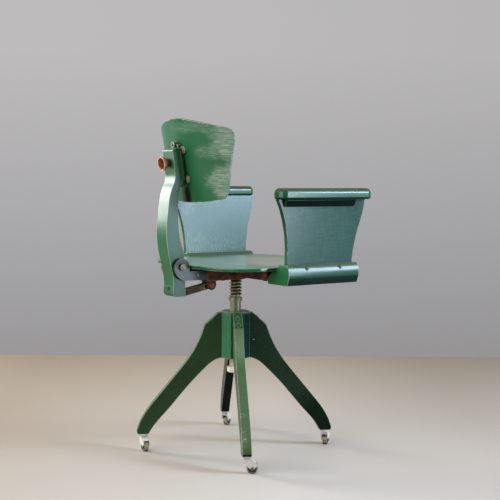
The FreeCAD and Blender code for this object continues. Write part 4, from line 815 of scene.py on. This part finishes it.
def metalMaterial(name, colour, deep, rust, roughness, metallic, **changes):
    look = {**metalLook, **changes}
    material = bpy.data.materials.new(name)
    material.use_nodes = True
    tree = material.node_tree
    shader = tree.nodes["Principled BSDF"]
    place = addNode(tree, "ShaderNodeTexCoord").outputs["Object"]
    mottle = noiseNode(tree, place, look["scale"], detail=6.0, roughness=0.65)
    mottle = stepNode(tree, mottle, *rustLook["mottle"])
    # The rustier the metal, the lower the noise at which the rust begins.
    low, high = [start - look["rusty"] * drop for start, drop in (rustLook["low"], rustLook["high"])]
    blotches = noiseNode(tree, place, look["scale"] * rustLook["scale"], detail=7.0, roughness=0.7,
                         distortion=0.6)
    rusted = stepNode(tree, blotches, low, high)
    wear = useGroup(tree, edgeWear, {"Radius": look["edge"], "Scale": rustLook["chipScale"],
                                     "Chips": look["chips"], "Reach": look["reach"]}).outputs
    mixed = mixColour(tree, mottle, colour, deep)
    mixed = mixColour(tree, mathNode(tree, "MULTIPLY", rusted, rustLook["share"]), mixed, rust)
    mixed = mixColour(tree, wear["Chip"], mixed, look["shine"])
    # Painted shade in the crevices.
    crevice = mathNode(tree, "MULTIPLY", wear["Crevice"], look["grimeShare"])
    mixed = mixColour(tree, crevice, mixed, look["grime"])
    if look["thread"]:
        mixed = colourSpindle(tree, mixed, look, place)
    rough = mathNode(tree, "MULTIPLY_ADD", mottle, rustLook["mottleRough"], roughness)
    rough = mathNode(tree, "MULTIPLY_ADD", rusted, rustLook["rough"], rough, clamp=True)
    metal = mathNode(tree, "MULTIPLY", oneMinus(tree, rusted), metallic)
    feed(tree, shader.inputs["Base Color"], mixed)
    feed(tree, shader.inputs["Roughness"], rough)
    feed(tree, shader.inputs["Metallic"], metal)
    grit = noiseNode(tree, place, look["scale"] * rustLook["gritScale"], roughness=0.6)
    height = mathNode(tree, "MULTIPLY_ADD", rusted, rustLook["relief"], grit)
    addRelief(tree, shader, height, look["bump"], rustLook["reliefDistance"])
    return material


# Irons; each metal's colours are its own, its deep shade and its rust.
rustIron = metalMaterial(
    "rustIron", (0.075, 0.022, 0.010, 1), (0.035, 0.011, 0.006, 1), (0.22, 0.055, 0.012, 1),
    roughness=0.55, metallic=0.2, rusty=0.6, scale=45.0)
orangeIron = metalMaterial(
    "orangeIron", (0.36, 0.13, 0.035, 1), (0.16, 0.05, 0.015, 1), (0.42, 0.16, 0.04, 1),
    roughness=0.5, metallic=0.2, rusty=0.6, grimeShare=0.3)
brownIron = metalMaterial(
    "brownIron", (0.13, 0.085, 0.04, 1), (0.05, 0.032, 0.015, 1), (0.24, 0.10, 0.03, 1),
    roughness=0.42, metallic=0.4, grimeShare=0.4)
darkIron = metalMaterial(
    "darkIron", (0.045, 0.030, 0.022, 1), (0.018, 0.012, 0.009, 1), (0.12, 0.045, 0.018, 1),
    roughness=0.40, metallic=0.7, rusty=0.3)

# Steels.
bronzeSteel = metalMaterial(
    "bronzeSteel", (0.50, 0.37, 0.17, 1), (0.30, 0.21, 0.09, 1), (0.20, 0.11, 0.04, 1),
    roughness=0.34, metallic=0.6, rusty=0.2, scale=80.0, grimeShare=0.5,
    thread={
        "radii": (0.0118, 0.0145),
        "bottom": 0.387, "bottomSoft": 0.002,
        "shank": (0.19, 0.22, 0.16, 1), "shankShare": 0.75,
        "foot": 0.2335, "footSoft": 0.004, "footColour": (0.60, 0.54, 0.40, 1), "footShare": 0.9,
    })
wornSteel = metalMaterial(
    "wornSteel", (0.30, 0.28, 0.21, 1), (0.12, 0.12, 0.09, 1), (0.14, 0.08, 0.04, 1),
    roughness=0.35, metallic=0.9, rusty=0.35, scale=140.0)
darkSteel = metalMaterial(
    "darkSteel", (0.06, 0.065, 0.06, 1), (0.025, 0.028, 0.025, 1), (0.10, 0.05, 0.025, 1),
    roughness=0.35, metallic=0.8, rusty=0.25, scale=140.0, edge=0.0009, chips=1.2)

# Copper of the knob's cup and brass of the hub's sleeve.
copper = metalMaterial(
    "copperCup", (0.80, 0.36, 0.17, 1), (0.58, 0.24, 0.11, 1), (0.26, 0.10, 0.04, 1),
    roughness=0.34, metallic=0.55, rusty=0.1, bump=0.1, edge=0.0016, chips=1.6,
    shine=(1.0, 0.80, 0.65, 1), grime=(0.16, 0.035, 0.012, 1), grimeShare=0.9, reach=0.03)
bushBrass = metalMaterial(
    "bushBrass", (0.45, 0.34, 0.16, 1), (0.3, 0.22, 0.1, 1), (0.12, 0.08, 0.04, 1),
    roughness=0.4, metallic=0.9)

# Wheels: black discs with pale treads, mottled and dirty like the metals.
wheelBlack = metalMaterial(
    "wheelBlack", (0.018, 0.017, 0.016, 1), (0.035, 0.032, 0.028, 1), (0.07, 0.06, 0.045, 1),
    roughness=0.35, metallic=0.0, rusty=0.2, bump=0.15)
treadBeige = metalMaterial(
    "treadBeige", (0.42, 0.36, 0.25, 1), (0.28, 0.23, 0.15, 1), (0.16, 0.13, 0.09, 1),
    roughness=0.6, metallic=0.0, rusty=0.3, scale=150.0)
print("metals and wheels made")


# Pieces with rounded arrises.
def makeActive(piece):
    bpy.ops.object.select_all(action="DESELECT")
    piece.select_set(True)
    bpy.context.view_layer.objects.active = piece


arris = {
    "segments": 3, "angle": 32, "smoothAngle": 40,
    "weldDistance": 1e-6, "flatAngle": 0.6, "evenAbove": 0.1,
}


def cleanMesh(piece, flat):
    # Double points are joined, and so are neighbour faces that are flatter than the given angle.
    if piece.data.has_custom_normals:
        bpy.ops.mesh.customdata_custom_splitnormals_clear()
    bpy.ops.object.mode_set(mode="EDIT")
    bpy.ops.mesh.select_all(action="SELECT")
    bpy.ops.mesh.remove_doubles(threshold=arris["weldDistance"])
    bpy.ops.mesh.dissolve_limited(angle_limit=math.radians(flat))
    bpy.ops.mesh.normals_make_consistent(inside=False)
    bpy.ops.object.mode_set(mode="OBJECT")


def roundArrises(piece, width, flat):
    bevel = piece.modifiers.new("arris", "BEVEL")
    bevel.width, bevel.segments, bevel.limit_method = width, arris["segments"], "ANGLE"
    bevel.angle_limit = math.radians(arris["angle"])
    bpy.ops.object.modifier_apply(modifier="arris")
    bpy.ops.object.shade_smooth_by_angle(angle=math.radians(arris["smoothAngle"]))
    if flat > arris["evenAbove"]:
        weighted = piece.modifiers.new("evenShading", "WEIGHTED_NORMAL")
        weighted.keep_sharp = True
        bpy.ops.object.modifier_apply(modifier="evenShading")


def giveMaterial(data, material):
    data.materials.clear()
    data.materials.append(material)


def bodyOf(node):
    bodies = frame["record"]["behaviour"]["bodies"]
    return [name for name, members in bodies.items() if node in members][0]


def roundedPiece(node, material, width, flat):
    # A merged copy of the node's shape with its arrises rounded over.
    piece = bpy.data.objects.new(node + "_rounded", frame["nodes"][node].data.copy())
    scene.collection.objects.link(piece)
    makeActive(piece)
    cleanMesh(piece, flat)
    roundArrises(piece, width, flat)
    giveMaterial(piece.data, material)
    body = bodyOf(node)
    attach(piece, body)
    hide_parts(node)


# Material and width of the rounding, node by node.
rounding = {
    "hub_post": (hubPaint, 0.0012), "hub_top_plate": (topPlatePaint, 0.0007),
    "leg_1": (legPaint, 0.0018), "leg_2": (legPaint, 0.0018),
    "leg_3": (darkLegPaint, 0.0018), "leg_4": (darkLegPaint, 0.0018),
    "arm_panel_right": (panelPaint, 0.0014), "arm_panel_left": (farPanelPaint, 0.0014),
    "arm_block_right": (blockPaint, 0.0016), "arm_block_left": (blockPaint, 0.0016),
    "arm_cap_right": (capPaint, 0.004), "arm_cap_left": (capPaint, 0.004),
    "arm_batten_right": (battenPaint, 0.0012), "arm_batten_left": (battenPaint, 0.0012),
    "upright": (uprightPaint, 0.0018), "seat_panel": (seatPaint, 0.0022),
    "backrest_panel": (backPaint, 0.0022), "back_bracket": (bracketPaint, 0.0006),
    "seat_iron": (rustIron, 0.0015), "side_bar_right": (barPaint, 0.0008),
    "side_bar_left": (barPaint, 0.0008), "link_bar": (brownIron, 0.001),
    "link_bracket": (orangeIron, 0.0005), "clamp_knob": (copper, 0.0004),
    "pivot_bolt": (wornSteel, 0.0008), "pivot_nut": (wornSteel, 0.0006),
    "spindle_cap": (creamPaint, 0.001),
}
curved = {"seat_panel": 0.02}  # The seat's dish keeps all but its flattest faces.
for node, (material, width) in rounding.items():
    roundedPiece(node, material, width, curved.get(node, arris["flatAngle"]))
print("rounded pieces made")

# Pieces that keep the node's own mesh.
plain = {
    "hub_sleeve": bushBrass, "leg_screws": plugPaint, "spindle": bronzeSteel,
    "seat_bolts": rustIron, "link_front_pin": orangeIron, "side_bar_screws": wornSteel,
    "arm_screws": darkSteel, "link_bracket_screw": barPaint, "link_rear_pin": darkIron,
    "clamp_bolt": darkIron, "clamp_washer": wornSteel, "bracket_bolts": bracketPaint,
}
castor = {
    "plate": creamPaint, "fork": creamPaint, "axle": wornSteel,
    "wheel": wheelBlack, "tread": treadBeige,
}
for number in range(1, 5):
    for title, material in castor.items():
        plain[f"castor_{title}_{number}"] = material
for node, material in plain.items():
    giveMaterial(frame["nodes"][node].data, material)
print("plain nodes finished")
